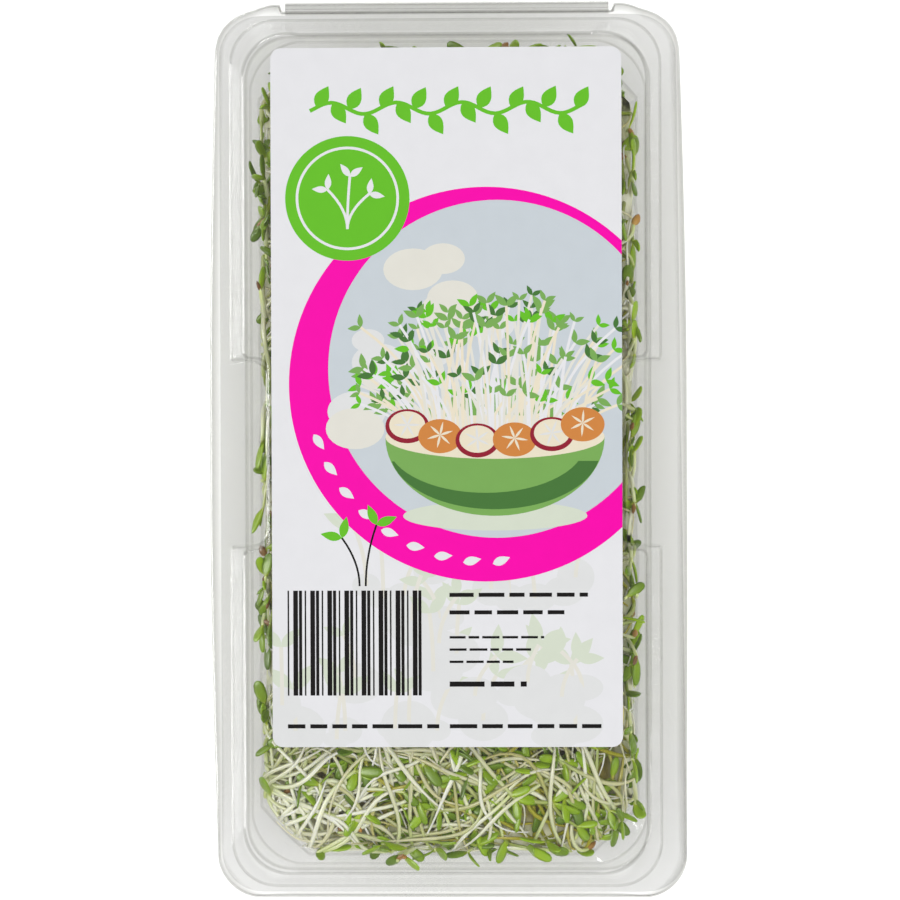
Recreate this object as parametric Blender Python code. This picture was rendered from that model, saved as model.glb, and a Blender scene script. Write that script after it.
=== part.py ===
"""Alfalfa sprouts in a clear hinged pack, at real size in metres, +Z up.

One clear sheet is formed into a tray, a lid and the hinge strip that joins them at the +Y
end. A paper label lies on the lid's panel, and the tray is full of tangled sprouts.
Lengths in the functions are in millimetres and are turned into metres as meshes are made.
"""
import math
import random
from collections import namedtuple

import bmesh
import bpy
from mathutils import Vector, noise

MM = 0.001

# The pack as a whole
HALF_LENGTH = 103.9
WELL_SHIFT = -0.6
SHEET = 0.8
HINGE_HALF = 37.5
HINGE_ROOT = 101.9
HINGE_ROOT_EASE = 0.7
HINGE_RISE = 0.18
LEAF_STEPS = 2

# Tray: its skin's levels from the middle of the floor up to the mouth. Each has its half width and
# half length, its corner's size, how far that corner is cut straight (0 to 1), its flutes' depth and
# its height.
Level = namedtuple("Level", "half_x half_y corner cut flute height")
WELL_CHAMFER = 11.5
FLUTE_DEPTH = 0.9
WALL_FOOT = Level(42.0, 91.9, WELL_CHAMFER, 0.9, FLUTE_DEPTH, 5.0)
WALL_TOP = Level(44.2, 94.1, WELL_CHAMFER, 0.9, FLUTE_DEPTH / 2.0, 26.5)
TRAY_TOP = 31.2
TRAY_LEVELS = (
    Level(32.0, 81.0, 9.5, 0.8, 0.0, 1.0),
    Level(33.5, 82.5, 9.5, 0.8, 0.0, 0.0),
    Level(40.0, 89.9, WELL_CHAMFER, 0.9, 0.0, 0.0),
    Level(41.4, 91.3, WELL_CHAMFER, 0.9, 0.0, 1.6),
    WALL_FOOT,
    WALL_TOP,
    Level(44.6, 94.5, WELL_CHAMFER, 0.85, 0.0, 27.7),
    Level(46.3, 96.2, 10.5, 0.0, 0.0, 28.7),
    Level(46.9, 96.8, 10.5, 0.0, 0.0, TRAY_TOP),
)
TRAY_FLANGE_HALF = 52.2
TRAY_FLANGE_ENDS = (-102.2, 101.0)
TRAY_FLANGE_RADIUS = 9.5
FLUTES = 6
FLUTE_PROFILE = ((-0.42, 0.0), (-0.24, 1.0), (0.24, 1.0), (0.42, 0.0))
FLUTE_END_MARGIN = 4.0
CORNER_MARGIN = 1.5

# Lid, from its flange up
LID_FLANGE = 33.1
LID_FLANGE_HALF = 53.7
LID_BOW = 1.6
LID_CORNER_RADIUS = 8.5
LID_CORNER_CUT = 0.25
LOW_EDGE_X = 36.0
LIP_DEPTH = 2.3
LIP_FLARE = 0.2
SHOULDER_HALF = (49.9, 100.2)
FOOT_HALF = (49.4, 99.7)
CREST_HALF = (46.1, 95.4)
PANEL_HALF = (45.5, 94.8)
CREST_TOP = 44.0
PANEL_TOP = 44.6
LID_RADIUS = 10.5
NOTCH_HALF_LENGTH = 21.8
NOTCH_FLOOR_DEPTH = 8.6
NOTCH_CREST_DEPTH = 5.8
NOTCH_RADIUS = 3.2
NOTCH_EASE = 1.6
NOTCH_FOOT_TAPER = 0.7
FACET_START = 82.0
FACET_HALF_TOP = 30.0
FACET_HALF_END = 33.0
FACET_HALF_FOOT = 36.6
FACET_FLANK = 1.2
FACET_DROP = 1.8
SIDE_STATIONS = (40.0, 62.0)
BOW_HALF_LENGTH = 92.0
LIP_FADE = 10.0
LIP_END_DEPTH = 0.5
HINGE_CORNER = ((53.7, 92.0), (52.7, 96.4), (50.6, 99.4), (48.0, 101.2), (44.5, 102.3), (41.6, 103.3),
                (38.6, 103.4))

# Label
LABEL_HALF = (40.0, 79.8)
LABEL_CENTRE_Y = 12.2
LABEL_RADIUS = 2.4
LABEL_THICKNESS = 0.4
FIT_GAP = 0.3

# Sprouts: the heap's plan, its rolling top and its sides as (height, inset) from the rim down
HEAP_HALF = (40.2, 90.0)
HEAP_CHAMFER = 11.0
HEAP_RIM = 29.0
HEAP_BASE = 2.2
HEAP_SIDE = ((16.0, 0.4), (4.5, 1.6), (HEAP_BASE, 3.4))
HEAP_SHOULDER = 0.3
HEAP_CROWN = 2.4
HEAP_ROLL = 2.6
HEAP_ROLL_LENGTH = 17.0
HEAP_FINE = 2.4
HEAP_FINE_LENGTH = 8.0
HEAP_CELLS = (10, 22)

# Sprouts: stems, and the seed leaves' outline as (share of length, share of half width)
UPWARD = Vector((0.0, 0.0, 1.0))
STEM_RADIUS = 0.95
STEM_TIP = 0.8
STEM_SIDES = 3
STEM_POINTS = 5
STEM_TURN = 0.32
STEM_LENGTH = (24.0, 46.0)
STEM_LIFT = (2.6, 4.6)
SPRAY_LENGTH = (12.0, 17.0)
SPRAY_LIFT = (3.5, 7.0)
SPRAY_RISE = 1.3
ROOT_DEPTH = 1.2
SIDE_LENGTH = (14.0, 30.0)
SIDE_SLOPE = 0.5
SIDE_BOW = 3.0
SIDE_STAND = 0.4
SIDE_HEIGHTS = (6.0, 26.0)
SIDE_SPREAD = 0.8
END_SPREAD = 0.62
LONG_SIDE_SHARE = 0.66
TOP_SPREAD = 0.92
LEAF_OUTLINE = ((0.0, 0.0), (0.5, 1.0), (0.88, 0.75), (1.0, 0.0), (0.88, -0.75), (0.5, -1.0))
LEAF_LENGTH = (6.4, 8.6)
LEAF_WIDTH = (3.2, 4.0)
LEAF_THICKNESS = 0.9
LEAF_BEND = 0.1
LEAF_TILT = (0.25, 0.8)
SIDE_LEAF_LEAN = 0.22
SIDE_LEAF_DEPTH = 0.9
PAIR_SPREAD = (0.5, 0.9)
TOP_STEMS = (5, 12)
SPRAY_STEMS = (3, 8)
TOP_LEAVES = (5, 11)
SIDE_STEMS = 18
SIDE_LEAVES = 30
SPROUT_SEED = 42
DRAWS = 12
CAVITY_CLEARANCE = 0.6
NOTCH_BERTH = 3.5

CORNER_STEPS = 6
LID_CORNER_STEPS = 7
NOTCH_STEPS = 3


def clear_scene():
    """Remove what a new file holds."""
    for item in list(bpy.data.objects):
        bpy.data.objects.remove(item, do_unlink=True)


def make_material(name, colour, roughness, alpha=1.0):
    """A plain Principled material."""
    material = bpy.data.materials.new(name)
    material.use_nodes = True
    shader = material.node_tree.nodes["Principled BSDF"]
    shader.inputs["Base Color"].default_value = (*colour, 1.0)
    shader.inputs["Roughness"].default_value = roughness
    shader.inputs["Metallic"].default_value = 0.0
    shader.inputs["Alpha"].default_value = alpha
    return material


def add_object(name, mesh, material=None, parent=None):
    """Link a mesh as a named object, with its mesh given about the parent's origin."""
    item = bpy.data.objects.new(name, mesh)
    bpy.context.collection.objects.link(item)
    if material is not None:
        mesh.materials.append(material)
    if parent is not None:
        item.parent = parent
    return item


def mesh_from(bm, name, origin=(0.0, 0.0, 0.0)):
    """Turn a bmesh in millimetres into a mesh in metres about the given origin."""
    bmesh.ops.translate(bm, verts=bm.verts, vec=-Vector(origin))
    bmesh.ops.scale(bm, verts=bm.verts, vec=(MM, MM, MM))
    mesh = bpy.data.meshes.new(name)
    bm.to_mesh(mesh)
    bm.free()
    return mesh


def corner(half_x, half_y, radius, chamfer, steps):
    """The +X +Y corner from its side to its end, round at chamfer 0 and cut straight at 1."""
    points = []
    for step in range(steps):
        t = step / (steps - 1)
        angle = math.radians(90.0 * t)
        rounded = Vector((half_x - radius + radius * math.cos(angle),
                          half_y - radius + radius * math.sin(angle)))
        cut = Vector((half_x - radius * t, half_y - radius * (1.0 - t)))
        points.append(rounded.lerp(cut, chamfer))
    return points


def close_outline(half):
    """A whole outline from its +X half, which runs from the -Y end to the +Y end."""
    return half + [Vector((-point.x, point.y)) for point in reversed(half)]


def at_height(outline, height):
    """Lift a flat outline to a height."""
    return [Vector((point.x, point.y, height)) for point in outline]


def loft(bm, rings, upward, skipped=()):
    """Join rings, given from the middle outwards, and leave the skipped steps of the last band open."""
    loops = [[bm.verts.new(point) for point in ring] for ring in rings]
    last = len(loops) - 2
    for band, (inner, outer) in enumerate(zip(loops, loops[1:])):
        for here in range(len(inner)):
            if band == last and here in skipped:
                continue
            after = (here + 1) % len(inner)
            corners = (inner[here], outer[here], outer[after], inner[after])
            bm.faces.new(corners if upward else reversed(corners))
    return loops


def hinge_leaf(bm, edge_start, edge_end, height, upward):
    """A ribbed strip from the flange's edge out to the fold line."""
    previous = (edge_start, edge_end)
    reach = HALF_LENGTH - edge_start.co.y
    for step in range(1, 2 * LEAF_STEPS + 1):
        y = edge_start.co.y + reach * step / (2 * LEAF_STEPS)
        z = height + (HINGE_RISE if step % 2 else 0.0) * (1.0 if upward else -1.0)
        row = (bm.verts.new((HINGE_HALF, y, z)), bm.verts.new((-HINGE_HALF, y, z)))
        corners = (previous[0], row[0], row[1], previous[1])
        bm.faces.new(corners if upward else reversed(corners))
        previous = row


def thicken(item):
    """Give a formed sheet its thickness, inwards from the modelled skin."""
    solid = item.modifiers.new("sheet", "SOLIDIFY")
    solid.thickness = SHEET * MM
    solid.offset = -1.0
    solid.use_even_offset = True
    solid.use_quality_normals = True


def tray_outline(level, end_x=None):
    """One level of the tray: cut or round corners, with flutes in the long sides."""
    turn = corner(level.half_x, level.half_y, level.corner, level.cut, CORNER_STEPS)
    end_x = level.half_x - level.corner - CORNER_MARGIN if end_x is None else end_x
    span = level.half_y - level.corner - FLUTE_END_MARGIN
    pitch = 2.0 * span / FLUTES
    sides = []
    for index in range(FLUTES):
        middle = -span + pitch * (index + 0.5)
        for along, depth in FLUTE_PROFILE:
            sides.append(Vector((level.half_x - level.flute * depth, middle + along * pitch)))
    low_turn = [Vector((point.x, -point.y)) for point in reversed(turn)]
    ends = Vector((end_x, -level.half_y)), Vector((end_x, level.half_y))
    half_outline = [ends[0], *low_turn, *sides, *turn, ends[1]]
    for point in half_outline:
        point.y += WELL_SHIFT
    return close_outline(half_outline)


def tray_flange_outline():
    """The tray's flange edge, moved along Y to its own two ends."""
    low, high = TRAY_FLANGE_ENDS
    level = Level(TRAY_FLANGE_HALF, (high - low) / 2.0, TRAY_FLANGE_RADIUS, 0.0, 0.0, TRAY_TOP)
    shift = (high + low) / 2.0 - WELL_SHIFT
    return [Vector((point.x, point.y + shift)) for point in tray_outline(level, end_x=HINGE_HALF)]


def build_tray(material):
    """The deep well with its flange and its leaf of the hinge."""
    bm = bmesh.new()
    rings = [at_height(tray_outline(level), level.height) for level in TRAY_LEVELS]
    rings.append(at_height(tray_flange_outline(), TRAY_TOP))
    loops = loft(bm, rings, upward=False)
    bm.faces.new(reversed(loops[0]))
    edge = loops[-1]
    middle = len(edge) // 2
    hinge_leaf(bm, edge[middle - 1], edge[middle], TRAY_TOP, upward=False)
    item = add_object("tray", mesh_from(bm, "tray"), material)
    thicken(item)
    return item


def lid_side(half_x, depth, flare, straight):
    """The +X side of one level of the lid, from -Y to +Y, with the finger recess."""
    length = NOTCH_HALF_LENGTH + flare
    upper = []
    if straight:
        steps = 2 * NOTCH_STEPS + 1
        for step in range(steps):
            share = step / (steps - 1)
            upper.append(Vector((half_x, length - NOTCH_RADIUS + share * (NOTCH_RADIUS + NOTCH_EASE))))
    else:
        for step in range(NOTCH_STEPS + 1):
            angle = math.radians(90.0 * step / NOTCH_STEPS)
            upper.append(Vector((half_x - depth + NOTCH_RADIUS * (1.0 - math.cos(angle)),
                                 length - NOTCH_RADIUS * (1.0 - math.sin(angle)))))
        for step in range(1, NOTCH_STEPS + 1):
            angle = math.radians(90.0 * step / NOTCH_STEPS)
            upper.append(Vector((half_x - NOTCH_EASE * (1.0 - math.sin(angle)),
                                 length + NOTCH_EASE * (1.0 - math.cos(angle)))))
    upper.extend(Vector((half_x, y)) for y in SIDE_STATIONS)
    return [Vector((point.x, -point.y)) for point in reversed(upper)] + upper


def lid_outline(half, radius, depth=0.0, flare=0.0, crest=True):
    """One level of the lid's wall or panel."""
    half_x, half_y = half
    turn = corner(half_x, half_y, radius, 0.0, LID_CORNER_STEPS)
    low_turn = [Vector((point.x, -point.y)) for point in reversed(turn)]
    facet_x = FACET_HALF_END if crest else FACET_HALF_FOOT
    half_outline = [
        Vector((facet_x, -half_y)),
        *low_turn,
        *lid_side(half_x, depth, flare, straight=depth == 0.0),
        *turn,
        Vector((facet_x + FACET_FLANK, half_y)),
        Vector((facet_x, half_y)),
    ]
    for point in half_outline:
        point.y += WELL_SHIFT
    return close_outline(half_outline)


def lid_flange_outline(grow):
    """The lid's flange edge: bowed long sides, two ears and the roots of the hinge."""
    low_turn = corner(LID_FLANGE_HALF, HALF_LENGTH, LID_CORNER_RADIUS, LID_CORNER_CUT, LID_CORNER_STEPS)
    low_turn = [Vector((point.x, -point.y + LIP_FLARE)) for point in reversed(low_turn)]
    sides = lid_side(LID_FLANGE_HALF, 0.0, 0.0, straight=True)
    for point in sides:
        point.x += LID_BOW * (1.0 - (point.y / BOW_HALF_LENGTH) ** 2)
    turn = [Vector(point) for point in HINGE_CORNER]
    roots = [Vector((HINGE_HALF + HINGE_ROOT_EASE, HINGE_ROOT)), Vector((HINGE_HALF, HINGE_ROOT))]
    low_edge = Vector((LOW_EDGE_X, -HALF_LENGTH + LIP_FLARE))
    for point in sides:
        point.x += grow
    for point in (low_edge, *low_turn):
        point += Vector((0.0 if point is low_edge else grow * point.x / LID_FLANGE_HALF, -grow))
    return close_outline([low_edge, *low_turn, *sides, *turn, *roots])


def lip_ring():
    """The lower edge of the lid's turned-down lip, which fades out towards the hinge."""
    ring = []
    for point in lid_flange_outline(LIP_FLARE):
        share = min(1.0, max(0.0, (FACET_START + LIP_FADE - point.y) / LIP_FADE))
        depth = LIP_END_DEPTH + (LIP_DEPTH - LIP_END_DEPTH) * share
        ring.append(Vector((point.x, point.y, LID_FLANGE - depth)))
    return ring


def lower_facet(ring):
    """Lower the hinge-end points of a lid level that bound the sloped facet."""
    middle = len(ring) // 2
    for index in (middle - 1, middle):
        ring[index].z -= FACET_DROP
    return ring


def lid_panel(bm, edge):
    """Fill the lid's top: the flat panel, the sloped facet and its two narrow flanks."""
    middle = len(edge) // 2
    right_low, left_low = edge[middle - 1], edge[middle]
    right_high, left_high = edge[middle - 2], edge[middle + 1]
    right_top = bm.verts.new((FACET_HALF_TOP, FACET_START, PANEL_TOP))
    left_top = bm.verts.new((-FACET_HALF_TOP, FACET_START, PANEL_TOP))
    bm.faces.new([*edge[:middle - 1], right_top, left_top, *edge[middle + 1:]])
    bm.faces.new((right_low, left_low, left_top, right_top))
    bm.faces.new((right_high, right_low, right_top))
    bm.faces.new((left_high, left_top, left_low))


def build_lid(material, pivot):
    """The raised lid with its lip and its leaf of the hinge."""
    bm = bmesh.new()
    rings = [
        lower_facet(at_height(lid_outline(PANEL_HALF, LID_RADIUS, NOTCH_CREST_DEPTH), PANEL_TOP)),
        lower_facet(at_height(lid_outline(CREST_HALF, LID_RADIUS, NOTCH_CREST_DEPTH), CREST_TOP)),
        at_height(lid_outline(FOOT_HALF, LID_RADIUS, NOTCH_FLOOR_DEPTH, -NOTCH_FOOT_TAPER, crest=False),
                  LID_FLANGE),
        at_height(lid_outline(SHOULDER_HALF, LID_RADIUS, crest=False), LID_FLANGE),
        at_height(lid_flange_outline(0.0), LID_FLANGE),
        lip_ring(),
    ]
    middle = len(rings[0]) // 2
    loops = loft(bm, rings, upward=True, skipped=(middle - 2, middle - 1, middle))
    lid_panel(bm, loops[0])
    flange = loops[-2]
    hinge_leaf(bm, flange[middle - 1], flange[middle], LID_FLANGE, upward=True)
    loose = [vert for vert in bm.verts if not vert.link_faces]
    bmesh.ops.delete(bm, geom=loose, context="VERTS")
    item = add_object("lid", mesh_from(bm, "lid", pivot.location / MM), material, pivot)
    thicken(item)
    return item


def build_label(material, pivot):
    """The label as a flat slip with round corners, just clear of the panel."""
    bm = bmesh.new()
    half_x, half_y = LABEL_HALF
    turn = corner(half_x, half_y, LABEL_RADIUS, 0.0, CORNER_STEPS)
    half_outline = [Vector((point.x, -point.y)) for point in reversed(turn)] + turn
    outline = [Vector((point.x, point.y + LABEL_CENTRE_Y)) for point in close_outline(half_outline)]
    low = PANEL_TOP + FIT_GAP
    face = bm.faces.new([bm.verts.new(point) for point in at_height(outline, low)])
    grown = bmesh.ops.extrude_face_region(bm, geom=[face])
    lifted = [part for part in grown["geom"] if isinstance(part, bmesh.types.BMVert)]
    bmesh.ops.translate(bm, verts=lifted, vec=(0.0, 0.0, LABEL_THICKNESS))
    bmesh.ops.recalc_face_normals(bm, faces=bm.faces)
    return add_object("label", mesh_from(bm, "label", pivot.location / MM), material, pivot)


def cavity_half(z):
    """Half the clear width and length inside the closed pack at a height."""
    share = min(1.0, (z - WALL_FOOT.height) / (WALL_TOP.height - WALL_FOOT.height))
    inset = (WALL_TOP.half_x - WALL_FOOT.half_x) * share - FLUTE_DEPTH - SHEET - CAVITY_CLEARANCE
    return WALL_FOOT.half_x + inset, WALL_FOOT.half_y + inset


def fits(point):
    """Whether a point lies clear inside the closed pack."""
    half_x, half_y = cavity_half(point.z)
    x, y = abs(point.x), abs(point.y - WELL_SHIFT)
    if x > half_x or y > half_y or x + y > half_x + half_y - WELL_CHAMFER:
        return False
    if point.z < HEAP_BASE:
        return False
    notch_x = FOOT_HALF[0] - NOTCH_FLOOR_DEPTH - NOTCH_BERTH
    beside_notch = x > notch_x and y < NOTCH_HALF_LENGTH + NOTCH_BERTH
    ceiling = TRAY_TOP if beside_notch else PANEL_TOP - SHEET
    if point.y > FACET_START - NOTCH_BERTH:
        ceiling -= FACET_DROP
    return point.z < ceiling - CAVITY_CLEARANCE


def heap_height(x, y):
    """Height of the heap's top, rolling gently and falling towards the walls."""
    half_x, half_y = HEAP_HALF
    out = max(abs(x) / half_x, abs(y - WELL_SHIFT) / half_y)
    share = min(1.0, max(0.0, (1.0 - out) / HEAP_SHOULDER))
    roll = noise.noise(Vector((x, y, 0.0)) / HEAP_ROLL_LENGTH) * HEAP_ROLL
    fine = noise.noise(Vector((y, x, 0.0)) / HEAP_FINE_LENGTH) * HEAP_FINE
    return HEAP_RIM + (HEAP_CROWN + roll + fine) * math.sqrt(share)


def heap_point(u, v):
    """A place on the heap's plan, with its corners cut like the tray's."""
    half_x, half_y = HEAP_HALF
    x, y = u * half_x, v * half_y
    over = abs(x) + abs(y) - (half_x + half_y - HEAP_CHAMFER)
    if over > 0.0:
        x -= math.copysign(over / 2.0, x)
        y -= math.copysign(over / 2.0, y)
    return x, y + WELL_SHIFT


def heap_inset(height):
    """How far the heap's upright side stands in from its plan at a height."""
    above = [(HEAP_RIM, 0.0), *HEAP_SIDE]
    for (high, outer), (low, inner) in zip(above, above[1:]):
        if height >= low:
            return outer + (inner - outer) * (high - height) / (high - low)
    return above[-1][1]


def heap_body():
    """The dense middle of the heap, which the sprouts stand out of."""
    bm = bmesh.new()
    across, along = HEAP_CELLS
    grid = []
    for row in range(along + 1):
        line = []
        for column in range(across + 1):
            x, y = heap_point(2.0 * column / across - 1.0, 2.0 * row / along - 1.0)
            line.append(bm.verts.new((x, y, heap_height(x, y))))
        grid.append(line)
    for row in range(along):
        for column in range(across):
            bm.faces.new((grid[row][column], grid[row][column + 1],
                          grid[row + 1][column + 1], grid[row + 1][column]))
    rim = (grid[0][:-1] + [line[-1] for line in grid[:-1]]
           + grid[-1][:0:-1] + [line[0] for line in grid[:0:-1]])
    previous = rim
    for height, inset in HEAP_SIDE:
        lower = []
        for vert in rim:
            inward = -Vector((vert.co.x, vert.co.y - WELL_SHIFT, 0.0)).normalized()
            lower.append(bm.verts.new(Vector((vert.co.x, vert.co.y, height)) + inward * inset))
        for index, vert in enumerate(previous):
            after = (index + 1) % len(previous)
            bm.faces.new((lower[index], lower[after], previous[after], vert))
        previous = lower
    bm.faces.new(reversed(previous))
    bmesh.ops.recalc_face_normals(bm, faces=bm.faces)
    return bm


def tube(points):
    """A closed stem through the points, with ends that taper a little."""
    bm = bmesh.new()
    rings = []
    last = len(points) - 1
    for index, point in enumerate(points):
        along = (points[min(index + 1, last)] - points[max(index - 1, 0)]).normalized()
        across = along.cross(UPWARD).normalized()
        up = across.cross(along)
        size = STEM_RADIUS * (STEM_TIP if index in (0, last) else 1.0)
        ring = []
        for side in range(STEM_SIDES):
            angle = 2.0 * math.pi * side / STEM_SIDES
            ring.append(bm.verts.new(point + (across * math.cos(angle) + up * math.sin(angle)) * size))
        rings.append(ring)
    for here, there in zip(rings, rings[1:]):
        for side in range(STEM_SIDES):
            after = (side + 1) % STEM_SIDES
            bm.faces.new((here[side], here[after], there[after], there[side]))
    bm.faces.new(reversed(rings[0]))
    bm.faces.new(rings[-1])
    bmesh.ops.recalc_face_normals(bm, faces=bm.faces)
    return bm


def seed_leaf(rng, base, along, normal):
    """One seed leaf: an oval blade that starts narrow at its base and bends down to its tip."""
    length, width = rng.uniform(*LEAF_LENGTH), rng.uniform(*LEAF_WIDTH)
    bm = bmesh.new()
    across = along.cross(normal).normalized()
    up = across.cross(along).normalized()
    levels = []
    for level in (-0.5, 0.5):
        row = []
        for reach, side in LEAF_OUTLINE:
            drop = LEAF_BEND * length * reach * reach
            place = base + along * (length * reach) + across * (0.5 * width * side)
            row.append(bm.verts.new(place + up * (level * LEAF_THICKNESS - drop)))
        levels.append(row)
    low, high = levels
    bm.faces.new(low)
    bm.faces.new(reversed(high))
    for index in range(len(low)):
        after = (index + 1) % len(low)
        bm.faces.new((low[after], low[index], high[index], high[after]))
    bmesh.ops.triangulate(bm, faces=[face for face in bm.faces if len(face.verts) > 4])
    bmesh.ops.recalc_face_normals(bm, faces=bm.faces)
    return bm


def top_cells(counts):
    """The middles of even cells over the heap's top, with half a cell's size."""
    across, along = counts
    half_cell = Vector((TOP_SPREAD * HEAP_HALF[0] / across, TOP_SPREAD * HEAP_HALF[1] / along))
    for row in range(along):
        for column in range(across):
            yield (Vector(((2 * column + 1 - across) * half_cell.x, (2 * row + 1 - along) * half_cell.y)),
                   half_cell)


def top_place(rng, middle, half_cell):
    """A place in one cell of the heap's top and a direction along it."""
    x = middle.x + rng.uniform(-half_cell.x, half_cell.x)
    y = middle.y + rng.uniform(-half_cell.y, half_cell.y)
    return x, y, rng.uniform(0.0, 2.0 * math.pi)


def stem_on_top(rng, spray, cell):
    """Points of a stem that arches over the heap's top, or of a short one that rises from it."""
    x, y, heading = top_place(rng, *cell)
    turn = rng.uniform(-STEM_TURN, STEM_TURN)
    length = rng.uniform(*(SPRAY_LENGTH if spray else STEM_LENGTH))
    lift = rng.uniform(*(SPRAY_LIFT if spray else STEM_LIFT))
    stride = length / (STEM_POINTS - 1)
    if not spray:
        x -= math.cos(heading) * length / 2.0
        y -= math.sin(heading) * length / 2.0
        heading -= turn * (STEM_POINTS - 1) / 2.0
    points = []
    for index in range(STEM_POINTS):
        share = index / (STEM_POINTS - 1)
        rise = share ** SPRAY_RISE if spray else math.sin(math.pi * share)
        points.append(Vector((x, y, heap_height(x, y) - ROOT_DEPTH + (lift + ROOT_DEPTH) * rise)))
        x += math.cos(heading) * stride
        y += math.sin(heading) * stride
        heading += turn
    return points


def side_place(rng):
    """A place on one of the heap's upright sides, with its outward direction."""
    half_x, half_y = HEAP_HALF
    height = rng.uniform(*SIDE_HEIGHTS)
    inset = heap_inset(height)
    if rng.random() < LONG_SIDE_SHARE:
        out = Vector((rng.choice((-1.0, 1.0)), 0.0, 0.0))
        y = rng.uniform(-SIDE_SPREAD, SIDE_SPREAD) * half_y
        return Vector((out.x * (half_x - inset), y, height)), out
    out = Vector((0.0, rng.choice((-1.0, 1.0)), 0.0))
    x = rng.uniform(-END_SPREAD, END_SPREAD) * half_x
    return Vector((x, out.y * (half_y - inset) + WELL_SHIFT, height)), out


def stem_on_side(rng):
    """Points of a stem that lies against one upright side of the heap."""
    place, out = side_place(rng)
    flat = UPWARD.cross(out)
    slope = rng.uniform(-SIDE_SLOPE, SIDE_SLOPE)
    bow = rng.uniform(-SIDE_BOW, SIDE_BOW)
    length = rng.uniform(*SIDE_LENGTH)
    points = []
    for index in range(STEM_POINTS):
        share = index / (STEM_POINTS - 1)
        arch = math.sin(math.pi * share)
        rise = length * slope * (share - 0.5) + bow * arch
        stand = (ROOT_DEPTH + SIDE_STAND) * arch - ROOT_DEPTH
        points.append(place + flat * length * (share - 0.5) + UPWARD * rise + out * stand)
    return points


def leaf_on_top(rng, cell):
    """A seed leaf half sunk in the heap's top."""
    x, y, heading = top_place(rng, *cell)
    tilt = rng.uniform(*LEAF_TILT)
    flat = Vector((math.cos(heading), math.sin(heading), 0.0))
    along = flat * math.cos(tilt) + UPWARD * math.sin(tilt)
    normal = UPWARD * math.cos(tilt) - flat * math.sin(tilt)
    return seed_leaf(rng, Vector((x, y, heap_height(x, y) - ROOT_DEPTH)), along, normal)


def leaf_on_side(rng):
    """A seed leaf that lies against an upright side, its base sunk in the heap."""
    place, out = side_place(rng)
    angle = rng.uniform(0.0, 2.0 * math.pi)
    lie = UPWARD.cross(out) * math.cos(angle) + UPWARD * math.sin(angle)
    along = (lie + out * SIDE_LEAF_LEAN).normalized()
    normal = (out - along * out.dot(along)).normalized()
    return seed_leaf(rng, place - out * SIDE_LEAF_DEPTH, along, normal)


def leaf_pair(rng, points):
    """The two seed leaves at a rising stem's tip, spread in a V."""
    along = (points[-1] - points[-2]).normalized()
    across = along.cross(UPWARD).normalized()
    leaves = []
    for side in (-1.0, 1.0):
        spread = (along + across * side * rng.uniform(*PAIR_SPREAD)).normalized()
        normal = (UPWARD - spread * spread.z).normalized()
        leaves.append(seed_leaf(rng, points[-1] - along * STEM_RADIUS, spread, normal))
    return leaves


def keep_if_clear(parts, kept):
    """Keep a group of small bodies if all of it lies inside the pack, and say so."""
    clear = all(fits(vert.co) for part in parts for vert in part.verts)
    if clear:
        kept.extend(parts)
    else:
        for part in parts:
            part.free()
    return clear


def scatter(make, places, kept):
    """Draw one group for each place, again up to the limit until it lies clear."""
    for place in places:
        for _ in range(DRAWS):
            if keep_if_clear(make(place), kept):
                break


def sprout_parts(rng):
    """Every stem and seed leaf of the heap."""
    kept = []

    def spray(cell):
        points = stem_on_top(rng, True, cell)
        return [tube(points), *leaf_pair(rng, points)]

    scatter(lambda cell: [tube(stem_on_top(rng, False, cell))], top_cells(TOP_STEMS), kept)
    scatter(spray, top_cells(SPRAY_STEMS), kept)
    scatter(lambda cell: [leaf_on_top(rng, cell)], top_cells(TOP_LEAVES), kept)
    scatter(lambda _: [tube(stem_on_side(rng))], range(SIDE_STEMS), kept)
    scatter(lambda _: [leaf_on_side(rng)], range(SIDE_LEAVES), kept)
    return kept


def keep_largest_body(mesh):
    """Fill hollows that fusing sealed and drop loose scraps: only the biggest shell stays."""
    bm = bmesh.new()
    bm.from_mesh(mesh)
    unseen = set(bm.verts)
    shells = []
    while unseen:
        queue = [unseen.pop()]
        shell = list(queue)
        while queue:
            for edge in queue.pop().link_edges:
                for vert in edge.verts:
                    if vert in unseen:
                        unseen.remove(vert)
                        shell.append(vert)
                        queue.append(vert)
        shells.append(shell)
    shells.sort(key=len)
    for shell in shells[:-1]:
        bmesh.ops.delete(bm, geom=shell, context="VERTS")
    bm.to_mesh(mesh)
    bm.free()


def build_sprouts(material):
    """The whole tangle, fused into one body."""
    rng = random.Random(SPROUT_SEED)
    item = add_object("sprouts", mesh_from(heap_body(), "sprouts"))
    loose = bpy.data.collections.new("loose sprouts")
    bpy.context.scene.collection.children.link(loose)
    for index, part in enumerate(sprout_parts(rng)):
        piece = bpy.data.objects.new(f"piece_{index}", mesh_from(part, f"piece_{index}"))
        loose.objects.link(piece)
    union = item.modifiers.new("union", "BOOLEAN")
    union.operation = "UNION"
    union.operand_type = "COLLECTION"
    union.collection = loose
    union.solver = "MANIFOLD"
    graph = bpy.context.evaluated_depsgraph_get()
    fused = bpy.data.meshes.new_from_object(item.evaluated_get(graph))
    item.modifiers.remove(union)
    keep_largest_body(fused)
    item.data = fused
    for piece in list(loose.objects):
        bpy.data.objects.remove(piece, do_unlink=True)
    bpy.data.collections.remove(loose)
    item.data.materials.clear()
    item.data.materials.append(material)
    return item


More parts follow.
